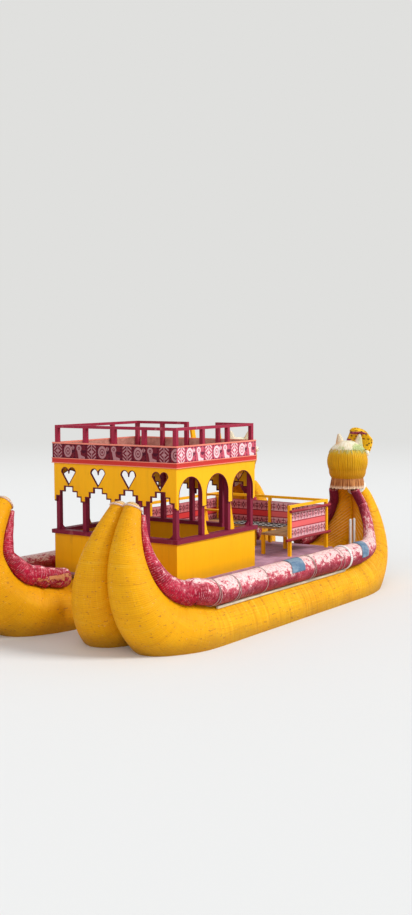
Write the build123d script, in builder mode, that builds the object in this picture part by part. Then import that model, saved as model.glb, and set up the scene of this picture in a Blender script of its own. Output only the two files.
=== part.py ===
from build123d import *
from math import cos, radians, sin
import os

# A two-hulled reed boat afloat, with a painted timber cabin and benches on its fore deck.
# Millimetres. The origin is on the water at the middle of the boat, +X towards the bow,
# +Y to port and +Z up.
# Each hull is a pair of tied reed bundles that lie side by side, with a gunwale roll on each
# bundle. Both ends of a hull sweep up, the stern to a blunt double tip and the bow to a neck
# that carries an animal's head. The port hull's stern is fuller and its rolls are thinner.

os.makedirs("parts", exist_ok=True)

SIDES = (("starboard", -1), ("port", 1))

# Hulls
hull_spacing = 2730.0
bundle_radius = 600.0
bundle_axis_height = 100.0
bundle_flat = 24.0
straight_aft = -2600.0
straight_forward = 2100.0
roll_radius = 220.0
port_roll_radius = 172.0
roll_bedding = 20.0
roll_stop_aft = -2990.0
roll_stop_gap = 20.0

# Stations of a bundle outside its straight middle. Columns: forward place, height, heading
# of the centre line in degrees from forward, bundle radius, roll radius, and how far round
# the bundle the roll lies, in degrees up from level.
STARBOARD_STERN = (
    (straight_aft, bundle_axis_height, 0, bundle_radius, roll_radius, 64),
    (-2900, 148, -12, 602, 219, 63),
    (-3230, 245, -21, 583, 215, 62),
    (-3540, 378, -34, 532, 206, 60),
    (-3810, 640, -55, 460, 187, 58),
    (-3970, 985, -76, 388, 156, 56),
    (-4000, 1390, -95, 308, 116, 54),
    (-3895, 1785, -111, 226, 74, 52),
    (-3694, 2173, -121, 150, 42, 50),
)
PORT_STERN = (
    (straight_aft, bundle_axis_height, 0, bundle_radius, port_roll_radius, 68),
    (-3000, 140, -10, 602, 171, 68),
    (-3420, 228, -21, 577, 173, 67),
    (-3800, 382, -36, 525, 174, 65),
    (-4083, 582, -46, 460, 171, 62),
    (-4297, 916, -70, 390, 160, 60),
    (-4356, 1333, -99, 320, 118, 58),
    (-4179, 1691, -124, 250, 94, 56),
    (-3940, 1960, -136, 195, 64, 54),
    (-3753, 2117, -140, 150, 36, 52),
)
STARBOARD_BOW = (
    (straight_forward, bundle_axis_height, 0, bundle_radius, roll_radius, 64),
    (2600, 145, 9, 582, 203, 64),
    (3000, 230, 17, 548, 182, 64),
    (3400, 392, 31, 488, 152, 64),
    (3730, 710, 55, 424, 125, 64),
    (3870, 1010, 73, 362, 113, 64),
    (3925, 1340, 90, 292, 106, 64),
    (3865, 1680, 108, 224, 101, 64),
    (3600, 2050, 127, 150, 95, 64),
)
PORT_BOW = (
    (straight_forward, bundle_axis_height, 0, bundle_radius, port_roll_radius, 68),
    (2600, 145, 9, 582, 170, 67),
    (3000, 230, 17, 548, 164, 66),
    (3400, 392, 31, 488, 148, 65),
    (3730, 710, 55, 424, 125, 64),
    (3870, 1010, 73, 362, 113, 64),
    (3925, 1340, 90, 292, 106, 64),
    (3865, 1680, 108, 224, 101, 64),
    (3600, 2050, 127, 150, 95, 64),
)
ENDS = {-1: (STARBOARD_STERN, STARBOARD_BOW), 1: (PORT_STERN, PORT_BOW)}

# Animal heads on the prows
neck_forward = 3580.0
lashing_lap = 120.0
lashing_height = 200.0
lashing_base_radius = 360.0
lashing_top_radius = 315.0
head_radius = 425.0
head_rise = 370.0
shoulder_rise = 200.0
crown_rise = 260.0
ear_radius = 110.0
ear_tip_radius = 18.0
ear_height = 320.0
ear_spread = 215.0
# Columns: place ahead of the neck, height over the head's centre, heading, half width, half
# thickness
UPPER_JAW = (
    (290, 40, 38, 240, 150),
    (470, 200, 56, 300, 110),
    (560, 400, 80, 310, 85),
    (500, 560, 115, 220, 70),
    (370, 620, 160, 150, 60),
    (260, 615, 182, 100, 55),
)
LOWER_JAW = (
    (290, -80, -5, 200, 150),
    (540, -100, 5, 180, 110),
    (720, -60, 20, 100, 60),
)
CLOSED_JAW = (
    (290, -20, 0, 230, 150),
    (400, -20, 0, 200, 120),
    (480, -20, 0, 140, 80),
)
JAWS = {-1: (UPPER_JAW, LOWER_JAW), 1: (CLOSED_JAW,)}
eye_radius = 62.0
eye_forward = 285.0
eye_spread = 300.0
eye_rise = 160.0

# Platform
floor_top = 800.0
floor_thickness = 30.0
beam_height = floor_top - floor_thickness - (bundle_axis_height + bundle_radius)
beam_width = 130.0
beam_past_bundle = 30.0
beam_count = 7
board_gap = 6.0
deck_board_count = 14

# Cabin
cabin_length = 2380.0
cabin_width = hull_spacing
cabin_aft = -2350.0
wall_thickness = 50.0
wall_height = 680.0
sill_height = 70.0
sill_overhang = 40.0
sill_depth = 160.0
post_size = 80.0
panel_thickness = 25.0
panel_top = 2740.0
stepped_panel_base = 2070.0
arch_panel_base = 2050.0
stern_bays = 4
side_bays = 3
arch_width = 660.0
arch_spring = 2250.0
# Columns: width of the step, height of its top
STEPS = ((580, 2155), (400, 2245), (200, 2330))
heart_width = 330.0
heart_gap = 22.0
heart_rise = 233.0

# Roof
roof_board = 40.0
strip_height = 95.0
strip_overhang = 25.0
fascia_height = 252.0
fascia_overhang = 18.0
fascia_thickness = 30.0
cap_height = 25.0
cap_overhang = 22.0
guard_inset = 15.0
guard_post_size = 70.0
guard_rail_height = 50.0
guard_top = 3414.0
guard_gap_starboard = -555.0
guard_gap_port = 95.0

# Ladder, inside the gap of the guard
ladder_clearance = 12.0
stringer_width = 40.0
stringer_depth = 110.0
ladder_foot = 620.0
ladder_top = 3260.0
tread_count = 7
tread_thickness = 30.0
tread_depth = 90.0

# Fore deck benches
bench_forward = 2760.0
starboard_bench_aft = 1280.0
port_bench_aft = 350.0
port_middle_post = 1770.0
seat_top = 1220.0
seat_thickness = 40.0
seat_depth = 600.0
bench_post = 60.0
top_rail_height = 50.0
bench_top = 1785.0
back_panel_low = 1130.0
back_panel_high = 1672.0
back_panel_thickness = 20.0
round_rail_radius = 28.0
lower_rail_extra = 150.0
cover_thickness = 25.0
cover_half_width = 620.0

# Fittings on the starboard side
pin_radius = 25.0
pin_top = 1420.0
pin_spacing = 160.0
pin_block_forward = 2780.0
pin_block_length = 240.0
pin_block_height = 60.0
pin_block_gap = 20.0
pin_inboard = 70.0
pole_radius = 26.0
pole_aft = straight_aft
pole_length = 4250.0
pole_clearance = 0.3


hull_offset = hull_spacing / 2
beam_half_length = hull_offset + bundle_radius + beam_past_bundle
cabin_forward = cabin_aft + cabin_length
cabin_half = cabin_width / 2
sill_base = floor_top + wall_height
sill_top = sill_base + sill_height
lashing_base = STARBOARD_BOW[-1][1] - lashing_lap
lashing_top = lashing_base + lashing_height
head_shoulder = lashing_top + shoulder_rise
head_centre = lashing_top + head_rise
crown_seat = head_centre + crown_rise
heart_tip = STEPS[-1][1] + heart_gap
heart_shoulder = heart_tip + heart_rise
guard_seat = panel_top + strip_height + fascia_height + cap_height
platform_aft = cabin_aft - sill_overhang
platform_forward = bench_forward + 2 * bench_post
stern_bay = cabin_width / stern_bays
side_bay = cabin_length / side_bays
beam_pitch = (platform_forward - platform_aft - beam_width) / (beam_count - 1)
beam_places = [platform_aft + i * beam_pitch for i in range(beam_count)]


def save(piece, name):
    piece.part.label = name
    export_step(piece.part, f"parts/{name}.step")


def block(x0, x1, y0, y1, z0, z1, mode=Mode.ADD):
    """One squared timber or board, given by its six faces."""
    with Locations(((x0 + x1) / 2, (y0 + y1) / 2, (z0 + z1) / 2)):
        Box(x1 - x0, y1 - y0, z1 - z0, mode=mode)


def ring(overhang, width, base, height):
    """A squared frame that runs round the cabin, its outer faces past the cabin's by overhang."""
    with Locations(((cabin_aft + cabin_forward) / 2, 0, base + height / 2)):
        Box(cabin_length + 2 * overhang, cabin_width + 2 * overhang, height)
        inset = 2 * (overhang - width)
        Box(cabin_length + inset, cabin_width + inset, height, mode=Mode.SUBTRACT)


def beam(x, starboard_end, port_end, mode=Mode.ADD):
    """One cross beam, its aft face at x."""
    block(x, x + beam_width, starboard_end, port_end,
          floor_top - floor_thickness - beam_height, floor_top - floor_thickness, mode)


def station_plane(x, y, z, heading):
    angle = radians(heading)
    return Plane(origin=(x, y, z), x_dir=(0, 1, 0), z_dir=(cos(angle), 0, sin(angle)))


# A hull's pieces are drawn to port of its middle plane, with that plane at y = 0.
def bundle_centre(radius):
    """Sideways place of a bundle's centre, so that it meets its twin on a narrow flat."""
    return radius - bundle_flat * radius / bundle_radius


def clear_of_neck():
    """Cut level, under the neck's straw skirt, what reaches up into it."""
    block(0, neck_forward + 2 * bundle_radius, 0, 2 * bundle_radius, lashing_base,
          lashing_base + 2 * bundle_radius, Mode.SUBTRACT)


def reed_bundle(ends, beam_end):
    """A tied bundle, notched for the beams forward of its straight middle."""
    with BuildPart() as bundle:
        for stations in ends:
            for x, z, heading, radius, _, _ in stations:
                with BuildSketch(station_plane(x, bundle_centre(radius), z, heading)):
                    Circle(radius)
            loft(ruled=True)
        x, z, _, radius, _, _ = ends[0][-1]
        with Locations((x, bundle_centre(radius), z)):
            Sphere(radius)
        with BuildSketch(Plane.YZ.offset(straight_aft)):
            with Locations((bundle_centre(bundle_radius), bundle_axis_height)):
                Circle(bundle_radius)
        extrude(amount=straight_forward - straight_aft)
        split(bisect_by=Plane(origin=(0, 0, 0), z_dir=(0, 1, 0)), keep=Keep.TOP)
        clear_of_neck()
        for x in beam_places:
            if x + beam_width > straight_forward:
                beam(x, 0, beam_end, Mode.SUBTRACT)
    return bundle


def roll_centre(station):
    """Centre of a gunwale roll, bedded a little in the shoulder of its bundle."""
    x, z, heading, radius, roll, round_bundle = station
    angle = radians(heading)
    lean = radians(round_bundle)
    reach = radius + roll - roll_bedding * roll / roll_radius
    rise = reach * sin(lean)
    y = bundle_centre(radius) + reach * cos(lean)
    return Vector(x - rise * sin(angle), y, z + rise * cos(angle))


def roll_planes(stations):
    """Planes square to the roll's own path, each turned to face forward along the boat."""
    centres = [roll_centre(station) for station in stations]
    planes = [Plane(origin=centres[0], x_dir=(0, 1, 0), z_dir=(1, 0, 0))]
    for i in range(1, len(centres)):
        along = centres[min(i + 1, len(centres) - 1)] - centres[i - 1]
        along = along.normalized() * (1 if stations[1][0] > stations[0][0] else -1)
        sideways = Vector(0, 1, 0) - along * along.Y
        planes.append(Plane(origin=centres[i], x_dir=sideways, z_dir=along))
    return planes


def gunwale_roll(ends, bundle, inboard):
    """The roll on one bundle. The inboard one is left out along the platform."""
    with BuildPart() as roll:
        for stations in ends:
            planes = roll_planes(stations)
            for plane, station in zip(planes, stations):
                with BuildSketch(plane):
                    Circle(station[4])
            loft(ruled=True)
        with BuildSketch(planes[0]):
            Circle(stations[0][4])
        extrude(amount=straight_aft - straight_forward)
        tip = ends[0][-1]
        with Locations(roll_centre(tip)):
            Sphere(tip[4])
        if inboard:
            block(roll_stop_aft, platform_forward + roll_stop_gap, 0, 2 * bundle_radius, 0,
                  4 * bundle_radius, Mode.SUBTRACT)
        add(bundle.part, mode=Mode.SUBTRACT)
        clear_of_neck()
    return roll


def place(piece, side, out):
    """Set a hull's piece on its hull, to port of the hull's middle or mirrored."""
    with BuildPart() as placed:
        with Locations((0, side * hull_offset, 0)):
            add(piece.part if out == 1 else mirror(piece.part, about=Plane.XZ, mode=Mode.PRIVATE))
    return placed


def jaw(stations, y):
    """A loft through flattened round sections ahead of a neck."""
    with BuildPart() as piece:
        for ahead, rise, heading, half_width, half_thickness in stations:
            plane = station_plane(neck_forward + ahead, y, head_centre + rise, heading)
            with BuildSketch(plane):
                Ellipse(half_width, half_thickness)
        loft()
    return piece


def ball(y):
    """The whole head with its crown: a ball on a short cone."""
    with BuildPart() as piece:
        with BuildSketch(Plane.XY.offset(lashing_top)):
            with Locations((neck_forward, y)):
                Circle(lashing_top_radius)
        with BuildSketch(Plane.XY.offset(head_shoulder)):
            with Locations((neck_forward, y)):
                Circle((head_radius**2 - (head_centre - head_shoulder)**2) ** 0.5)
        loft()
        with Locations((neck_forward, y, head_centre)):
            Sphere(head_radius)
        block(neck_forward - head_radius, neck_forward + head_radius, y - head_radius,
              y + head_radius, lashing_base, lashing_top, Mode.SUBTRACT)
    return piece


# Hulls
for side_name, side in SIDES:
    for lobe_name, out in (("outer", side), ("inner", -side)):
        inboard = out != side
        beam_end = beam_half_length + (hull_offset if inboard else -hull_offset)
        bundle = reed_bundle(ENDS[side], beam_end)
        roll = gunwale_roll(ENDS[side], bundle, inboard)
        save(place(bundle, side, out), f"bundle_{side_name}_{lobe_name}")
        save(place(roll, side, out), f"roll_{side_name}_{lobe_name}")

all_heads = []
for side_name, side in SIDES:
    y = side * hull_offset
    # The neck's straw skirt, tied over the ends of both bundles and their rolls
    with BuildPart() as lashing:
        with BuildSketch(Plane.XY.offset(lashing_base)):
            with Locations((neck_forward, y)):
                Circle(lashing_base_radius)
        with BuildSketch(Plane.XY.offset(lashing_top)):
            with Locations((neck_forward, y)):
                Circle(lashing_top_radius)
        loft()
    save(lashing, f"neck_lashing_{side_name}")

    # The head, a ball of reeds gathered at the neck, cut level under its crown
    with BuildPart() as head:
        add(ball(y).part)
        split(bisect_by=Plane.XY.offset(crown_seat), keep=Keep.BOTTOM)
    save(head, f"head_{side_name}")

    # The pale crown with its two ears
    with BuildPart() as crown:
        add(ball(y).part)
        for ear_side in (-1, 1):
            with Locations((neck_forward, y + ear_side * ear_spread,
                            crown_seat + ear_height / 2)):
                Cone(ear_radius, ear_tip_radius, ear_height)
        split(bisect_by=Plane.XY.offset(crown_seat), keep=Keep.TOP)
    save(crown, f"crown_{side_name}")

    # Open jaws to starboard and a closed snout to port, seated on the ball
    with BuildPart() as jaws:
        for stations in JAWS[side]:
            add(jaw(stations, y).part)
        add(head.part, mode=Mode.SUBTRACT)
        add(crown.part, mode=Mode.SUBTRACT)
    save(jaws, f"jaws_{side_name}")

    all_heads += [head, jaws]

with BuildPart() as eyes:
    for side_name, side in SIDES:
        for eye_side in (-1, 1):
            with Locations((neck_forward + eye_forward,
                            side * hull_offset + eye_side * eye_spread, head_centre + eye_rise)):
                Sphere(eye_radius)
    for piece in all_heads:
        add(piece.part, mode=Mode.SUBTRACT)
save(eyes, "eyes")

# Platform: beams across the crowns of all four bundles, and boards on the beams
with BuildPart() as cross_beams:
    for x in beam_places:
        beam(x, -beam_half_length, beam_half_length)
save(cross_beams, "cross_beams")

with BuildPart() as cabin_floor:
    block(platform_aft, cabin_forward, -cabin_half - sill_overhang, cabin_half + sill_overhang,
          floor_top - floor_thickness, floor_top)
save(cabin_floor, "cabin_floor")

board_pitch = (cabin_width + 2 * sill_overhang + board_gap) / deck_board_count
with BuildPart() as fore_deck:
    for i in range(deck_board_count):
        y = -cabin_half - sill_overhang + i * board_pitch
        block(cabin_forward, platform_forward, y, y + board_pitch - board_gap,
              floor_top - floor_thickness, floor_top)
save(fore_deck, "fore_deck")

# Cabin: four low walls, a sill on them, posts, and cut panels outside the posts
stern_post_sides = [-cabin_half + stern_bay * i for i in range(1, stern_bays)]
side_post_places = [cabin_aft + side_bay * i for i in range(1, side_bays)]
doorway_low = -cabin_half + panel_thickness + post_size
doorway_high = -cabin_half + stern_bay - post_size / 2

with BuildPart() as lower_wall_stern:
    block(cabin_aft, cabin_aft + wall_thickness, -cabin_half, cabin_half, floor_top, sill_base)
save(lower_wall_stern, "lower_wall_stern")

for side_name, side in SIDES:
    outer = side * cabin_half
    inner = outer - side * wall_thickness
    with BuildPart() as wall:
        block(cabin_aft + wall_thickness, cabin_forward - wall_thickness, min(outer, inner),
              max(outer, inner), floor_top, sill_base)
    save(wall, f"lower_wall_{side_name}")

with BuildPart() as lower_wall_bow:
    block(cabin_forward - wall_thickness, cabin_forward, -cabin_half, doorway_low, floor_top,
          sill_base)
    block(cabin_forward - wall_thickness, cabin_forward, doorway_high, cabin_half, floor_top,
          sill_base)
save(lower_wall_bow, "lower_wall_bow")

with BuildPart() as sill:
    ring(sill_overhang, sill_depth, sill_base, sill_height)
    block(cabin_forward - sill_depth, cabin_forward + sill_overhang, doorway_low, doorway_high,
          sill_base, sill_top, Mode.SUBTRACT)
save(sill, "sill")

with BuildPart() as cabin_posts:
    near, far = cabin_aft + panel_thickness, cabin_forward - panel_thickness
    edge = cabin_half - panel_thickness
    for y in [-edge + post_size / 2] + stern_post_sides + [edge - post_size / 2]:
        for x0 in (near, far - post_size):
            block(x0, x0 + post_size, y - post_size / 2, y + post_size / 2, sill_top, panel_top)
    for x in side_post_places:
        for y0 in (-edge, edge - post_size):
            block(x - post_size / 2, x + post_size / 2, y0, y0 + post_size, sill_top, panel_top)
save(cabin_posts, "cabin_posts")


def heart(y):
    """Outline of a heart with its point down: two straight sides and two round shoulders."""
    quarter = heart_width / 4
    with BuildLine() as outline:
        Line((y, heart_tip), (y + 2 * quarter, heart_shoulder))
        ThreePointArc((y + 2 * quarter, heart_shoulder),
                      (y + quarter, heart_shoulder + quarter), (y, heart_shoulder))
        ThreePointArc((y, heart_shoulder), (y - quarter, heart_shoulder + quarter),
                      (y - 2 * quarter, heart_shoulder))
        Line((y - 2 * quarter, heart_shoulder), (y, heart_tip))
    return outline.line


for name, x in (("stepped_panel_stern", cabin_aft),
                ("stepped_panel_bow", cabin_forward - panel_thickness)):
    with BuildPart() as panel:
        with BuildSketch(Plane.YZ.offset(x)):
            with Locations((0, (stepped_panel_base + panel_top) / 2)):
                Rectangle(cabin_width, panel_top - stepped_panel_base)
            for i in range(stern_bays):
                y = -cabin_half + stern_bay * (i + 0.5)
                for width, top in STEPS:
                    with Locations((y, (stepped_panel_base + top) / 2)):
                        Rectangle(width, top - stepped_panel_base, mode=Mode.SUBTRACT)
                with BuildLine():
                    add(heart(y))
                make_face(mode=Mode.SUBTRACT)
        extrude(amount=panel_thickness)
    save(panel, name)

for side_name, side in SIDES:
    with BuildPart() as panel:
        with BuildSketch(Plane.XZ.offset(-side * (cabin_half - panel_thickness))):
            length = cabin_length - 2 * panel_thickness
            with Locations(((cabin_aft + cabin_forward) / 2, (arch_panel_base + panel_top) / 2)):
                Rectangle(length, panel_top - arch_panel_base)
            for i in range(side_bays):
                x = cabin_aft + side_bay * (i + 0.5)
                with Locations((x, (arch_panel_base + arch_spring) / 2)):
                    Rectangle(arch_width, arch_spring - arch_panel_base, mode=Mode.SUBTRACT)
                with Locations((x, arch_spring)):
                    Circle(arch_width / 2, mode=Mode.SUBTRACT)
        extrude(amount=-side * panel_thickness)
    save(panel, f"arch_panel_{side_name}")

# Roof: boards over the walls, then the strip, the woven fascia and its cap round the edge
with BuildPart() as roof_deck:
    block(cabin_aft, cabin_forward, -cabin_half, cabin_half, panel_top, panel_top + roof_board)
save(roof_deck, "roof_deck")

with BuildPart() as roof_strip:
    ring(strip_overhang, strip_overhang, panel_top, strip_height)
save(roof_strip, "roof_strip")

with BuildPart() as roof_fascia:
    ring(fascia_overhang, fascia_thickness, panel_top + strip_height, fascia_height)
save(roof_fascia, "roof_fascia")

with BuildPart() as roof_cap:
    ring(cap_overhang, cap_overhang + guard_inset, guard_seat - cap_height, cap_height)
save(roof_cap, "roof_cap")

# The guard's posts stand on the roof's boards, inside the fascia and its cap
guard_out = -guard_inset
guard_half_width = cabin_half + guard_out - guard_post_size / 2
guard_aft = cabin_aft - guard_out + guard_post_size / 2
guard_forward = cabin_forward + guard_out - guard_post_size / 2
guard_post_spots = [(guard_aft, -guard_half_width + 2 * guard_half_width * i / 4)
                    for i in range(5)]
guard_post_spots += [(guard_aft + (guard_forward - guard_aft) * i / 3, side * guard_half_width)
                     for i in range(1, 4) for side in (-1, 1)]
guard_post_spots += [(guard_forward, guard_gap_starboard - guard_post_size / 2),
                     (guard_forward, guard_gap_port + guard_post_size / 2),
                     (guard_forward, (guard_gap_port + guard_half_width) / 2)]
with BuildPart() as roof_posts:
    half = guard_post_size / 2
    for x, y in guard_post_spots:
        block(x - half, x + half, y - half, y + half, panel_top + roof_board,
              guard_top - guard_rail_height)
save(roof_posts, "roof_posts")

with BuildPart() as roof_rail:
    ring(guard_out, guard_post_size, guard_top - guard_rail_height, guard_rail_height)
    block(guard_forward - guard_post_size, guard_forward + guard_post_size, guard_gap_starboard,
          guard_gap_port, guard_top - guard_rail_height, guard_top, Mode.SUBTRACT)
save(roof_rail, "roof_rail")

# Ladder: two stringers that lean on the cap, with treads between them
lean_at_cap = cabin_forward + cap_overhang
lean = (ladder_foot - lean_at_cap) / (guard_seat - floor_top)


def ladder_line(z):
    """Forward place of the stringers' back edge at a height."""
    return ladder_foot - (z - floor_top) * lean


ladder_low = guard_gap_starboard + ladder_clearance
ladder_high = guard_gap_port - ladder_clearance
with BuildPart() as ladder:
    for y in (ladder_low, ladder_high - stringer_width):
        with BuildSketch(Plane.XZ.offset(-y)):
            with BuildLine():
                Polyline((ladder_line(floor_top), floor_top),
                         (ladder_line(floor_top) + stringer_depth, floor_top),
                         (ladder_line(ladder_top) + stringer_depth, ladder_top),
                         (ladder_line(ladder_top), ladder_top), close=True)
            make_face()
        extrude(amount=-stringer_width)
    for i in range(1, tread_count + 1):
        z = floor_top + (guard_seat - floor_top) * i / (tread_count + 0.5)
        x = ladder_line(z) + (stringer_depth - tread_depth) / 2
        block(x, x + tread_depth, ladder_low, ladder_high, z - tread_thickness, z)
save(ladder, "ladder")

# Fore deck benches: posts and top rails, seats, woven backs and round rails
# Columns: aft face and starboard face of each post
post_places = (
    (starboard_bench_aft, -cabin_half),
    (bench_forward - bench_post, -cabin_half),
    (bench_forward - bench_post, -bench_post / 2),
    (bench_forward - bench_post, cabin_half - bench_post),
    (port_bench_aft, cabin_half - bench_post),
    (port_middle_post, cabin_half - bench_post),
)
# The same for the legs under the seats
leg_places = (
    (starboard_bench_aft, -cabin_half + seat_depth),
    (bench_forward - seat_depth - bench_post, -bench_post / 2),
    (port_bench_aft, cabin_half - seat_depth - bench_post),
    (bench_forward - seat_depth - bench_post, -cabin_half + seat_depth),
    (bench_forward - seat_depth - bench_post, cabin_half - seat_depth - bench_post),
)
rail_base = bench_top - top_rail_height
with BuildPart() as bench_posts:
    for x, y in post_places:
        block(x, x + bench_post, y, y + bench_post, floor_top, rail_base)
    for x, y in leg_places:
        block(x, x + bench_post, y, y + bench_post, floor_top, seat_top - seat_thickness)
save(bench_posts, "bench_posts")

with BuildPart() as bench_top_rails:
    block(starboard_bench_aft, bench_forward, -cabin_half, -cabin_half + bench_post, rail_base,
          bench_top)
    block(bench_forward - bench_post, bench_forward, -cabin_half, cabin_half, rail_base, bench_top)
    block(port_bench_aft, bench_forward, cabin_half - bench_post, cabin_half, rail_base, bench_top)
save(bench_top_rails, "bench_top_rails")

seat_front = bench_forward - bench_post - seat_depth
seat_half = cabin_half - bench_post
with BuildPart() as bench_seats:
    block(starboard_bench_aft, seat_front, -seat_half, -cabin_half + seat_depth + bench_post,
          seat_top - seat_thickness, seat_top)
    block(seat_front, bench_forward - bench_post, -seat_half, seat_half,
          seat_top - seat_thickness, seat_top)
    block(port_bench_aft, seat_front, cabin_half - seat_depth - bench_post, seat_half,
          seat_top - seat_thickness, seat_top)
    block(bench_forward - 2 * bench_post, bench_forward, -bench_post, bench_post,
          seat_top - seat_thickness, seat_top, Mode.SUBTRACT)
save(bench_seats, "bench_seats")

panel_inset = (bench_post - back_panel_thickness) / 2
with BuildPart() as bench_backs:
    inner = -cabin_half + panel_inset
    block(starboard_bench_aft + bench_post, bench_forward - bench_post, inner,
          inner + back_panel_thickness, back_panel_low, back_panel_high)
    outer = cabin_half - panel_inset
    for x0, x1 in ((port_bench_aft + bench_post, port_middle_post),
                   (port_middle_post + bench_post, bench_forward - bench_post)):
        block(x0, x1, outer - back_panel_thickness, outer, back_panel_low, back_panel_high)
    x = bench_forward - panel_inset
    for y0, y1 in ((-cabin_half + bench_post, -bench_post / 2),
                   (bench_post / 2, cabin_half - bench_post)):
        block(x - back_panel_thickness, x, y0, y1, back_panel_low, back_panel_high)
save(bench_backs, "bench_backs")

with BuildPart() as seat_cover:
    block(seat_front, bench_forward - 2 * bench_post, -cover_half_width, cover_half_width,
          seat_top, seat_top + cover_thickness)
save(seat_cover, "seat_cover")

# Round rails outside the starboard back, above and below its woven panel
with BuildPart() as bench_rails:
    y = -cabin_half - round_rail_radius
    for z, extra in ((back_panel_low, lower_rail_extra), (back_panel_high, 0)):
        aft = starboard_bench_aft - round_rail_radius - extra
        with BuildSketch(Plane.YZ.offset(aft)):
            with Locations((y, z)):
                Circle(round_rail_radius)
        extrude(amount=bench_forward + round_rail_radius - aft)
save(bench_rails, "bench_rails")

# A block over the beams' ends, clear of the roll, and two thole pins that stand on it
pin_place = -beam_half_length + pin_block_gap + pin_inboard
block_base = floor_top - floor_thickness
pin_base = block_base + pin_block_height
with BuildPart() as thole_block:
    block(pin_block_forward - pin_block_length / 2, pin_block_forward + pin_block_length / 2,
          pin_place - pin_inboard, pin_place + pin_inboard, block_base, pin_base)
save(thole_block, "thole_block")

with BuildPart() as thole_pins:
    for step in (-1, 1):
        with Locations((pin_block_forward + step * pin_spacing / 2, pin_place,
                        (pin_base + pin_top) / 2)):
            Cylinder(pin_radius, pin_top - pin_base)
save(thole_pins, "thole_pins")

# The pole lies in the outboard groove between bundle and roll, a hair from both. Its place is
# where a circle round the bundle's centre meets one round the roll's centre.
roll_origin = roll_centre(STARBOARD_STERN[0])
bundle_y = bundle_centre(bundle_radius)
apart_y, apart_z = roll_origin.Y - bundle_y, roll_origin.Z - bundle_axis_height
apart = (apart_y**2 + apart_z**2) ** 0.5
from_bundle = bundle_radius + pole_radius + pole_clearance
from_roll = roll_radius + pole_radius + pole_clearance
along = (apart**2 + from_bundle**2 - from_roll**2) / (2 * apart)
across = (from_bundle**2 - along**2) ** 0.5
pole_y = bundle_y + (along * apart_y + across * apart_z) / apart
pole_z = bundle_axis_height + (along * apart_z - across * apart_y) / apart
with BuildPart() as side_pole:
    with BuildSketch(Plane.YZ.offset(pole_aft)):
        with Locations((-hull_offset - pole_y, pole_z)):
            Circle(pole_radius)
    extrude(amount=pole_length)
save(side_pole, "side_pole")
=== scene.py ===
"""The looks of a two-hulled reed boat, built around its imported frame.

Metres. The origin is on the water at the middle of the boat, +X towards the bow, +Y to port
and +Z up. Run as a script in Blender 4.5, it adds the boat's pieces and the stage.
"""

import math
from collections import namedtuple

import bpy
import numpy as np
from bpy.props import FloatProperty, FloatVectorProperty, IntProperty, PointerProperty
from mathutils import Matrix, Vector


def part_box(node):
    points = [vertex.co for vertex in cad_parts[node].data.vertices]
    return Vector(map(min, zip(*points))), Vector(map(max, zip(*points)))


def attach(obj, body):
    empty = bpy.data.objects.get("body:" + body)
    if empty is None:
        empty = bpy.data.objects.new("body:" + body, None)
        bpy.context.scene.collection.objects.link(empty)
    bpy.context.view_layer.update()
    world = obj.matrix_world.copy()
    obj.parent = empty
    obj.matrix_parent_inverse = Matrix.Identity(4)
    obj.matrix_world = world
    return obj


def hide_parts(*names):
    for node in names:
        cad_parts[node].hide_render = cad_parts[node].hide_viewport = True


bl_info = {
    "name": "Reed boat",
    "version": (1, 0, 0),
    "blender": (4, 5, 0),
    "location": "View3D > Sidebar > Reed boat",
    "description": "Builds the looks of a two-hulled reed boat around its packed frame",
    "category": "Add Mesh",
}

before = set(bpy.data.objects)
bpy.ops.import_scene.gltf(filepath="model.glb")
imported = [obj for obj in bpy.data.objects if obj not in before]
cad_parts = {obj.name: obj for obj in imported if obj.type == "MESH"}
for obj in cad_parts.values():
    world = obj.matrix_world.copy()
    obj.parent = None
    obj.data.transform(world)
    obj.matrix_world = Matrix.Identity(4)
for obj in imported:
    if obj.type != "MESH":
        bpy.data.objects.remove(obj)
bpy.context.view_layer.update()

BODY = "root"
PLACE = "place"
BARE = "bare"
SIDES = (("starboard", -1), ("port", 1))
LOBES = [(name, side, lobe, side if lobe == "outer" else -side)
         for name, side in SIDES for lobe in ("outer", "inner")]


def box(node):
    """Lowest and highest corner of a node, as arrays."""
    low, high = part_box(node)
    return np.array(low), np.array(high)


# Sizes that come from the frame
WALL_LOW = np.minimum(box("lower_wall_stern")[0], box("lower_wall_starboard")[0])
WALL_HIGH = np.maximum(box("lower_wall_bow")[1], box("lower_wall_port")[1])
FLOOR = box("cabin_floor")[1][2]
SILL_TOP = float(box("sill")[1][2])
PANEL_LOW, PANEL_HIGH = box("stepped_panel_stern")
ARCH_FOOT = box("arch_panel_starboard")[0][2]
HEAD_LOW, HEAD_HIGH = box("head_starboard")
CABIN_HALF = WALL_HIGH[1]


def seen(red, green, blue):
    """A colour as it is seen on a screen, from 0 to 255, as the linear values of a shader."""
    value = np.array([red, green, blue]) / 255
    return tuple(np.where(value <= 0.04045, value / 12.92, ((value + 0.055) / 1.055) ** 2.4))


# ---------------------------------------------------------------- settings

def length_property(name, description, default):
    return FloatProperty(name=name, description=description, default=default, min=0.0,
                         unit="LENGTH", subtype="DISTANCE")


def colour_property(name, description, *value):
    return FloatVectorProperty(name=name, description=description, default=seen(*value),
                               min=0.0, max=1.0, subtype="COLOR")


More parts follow.
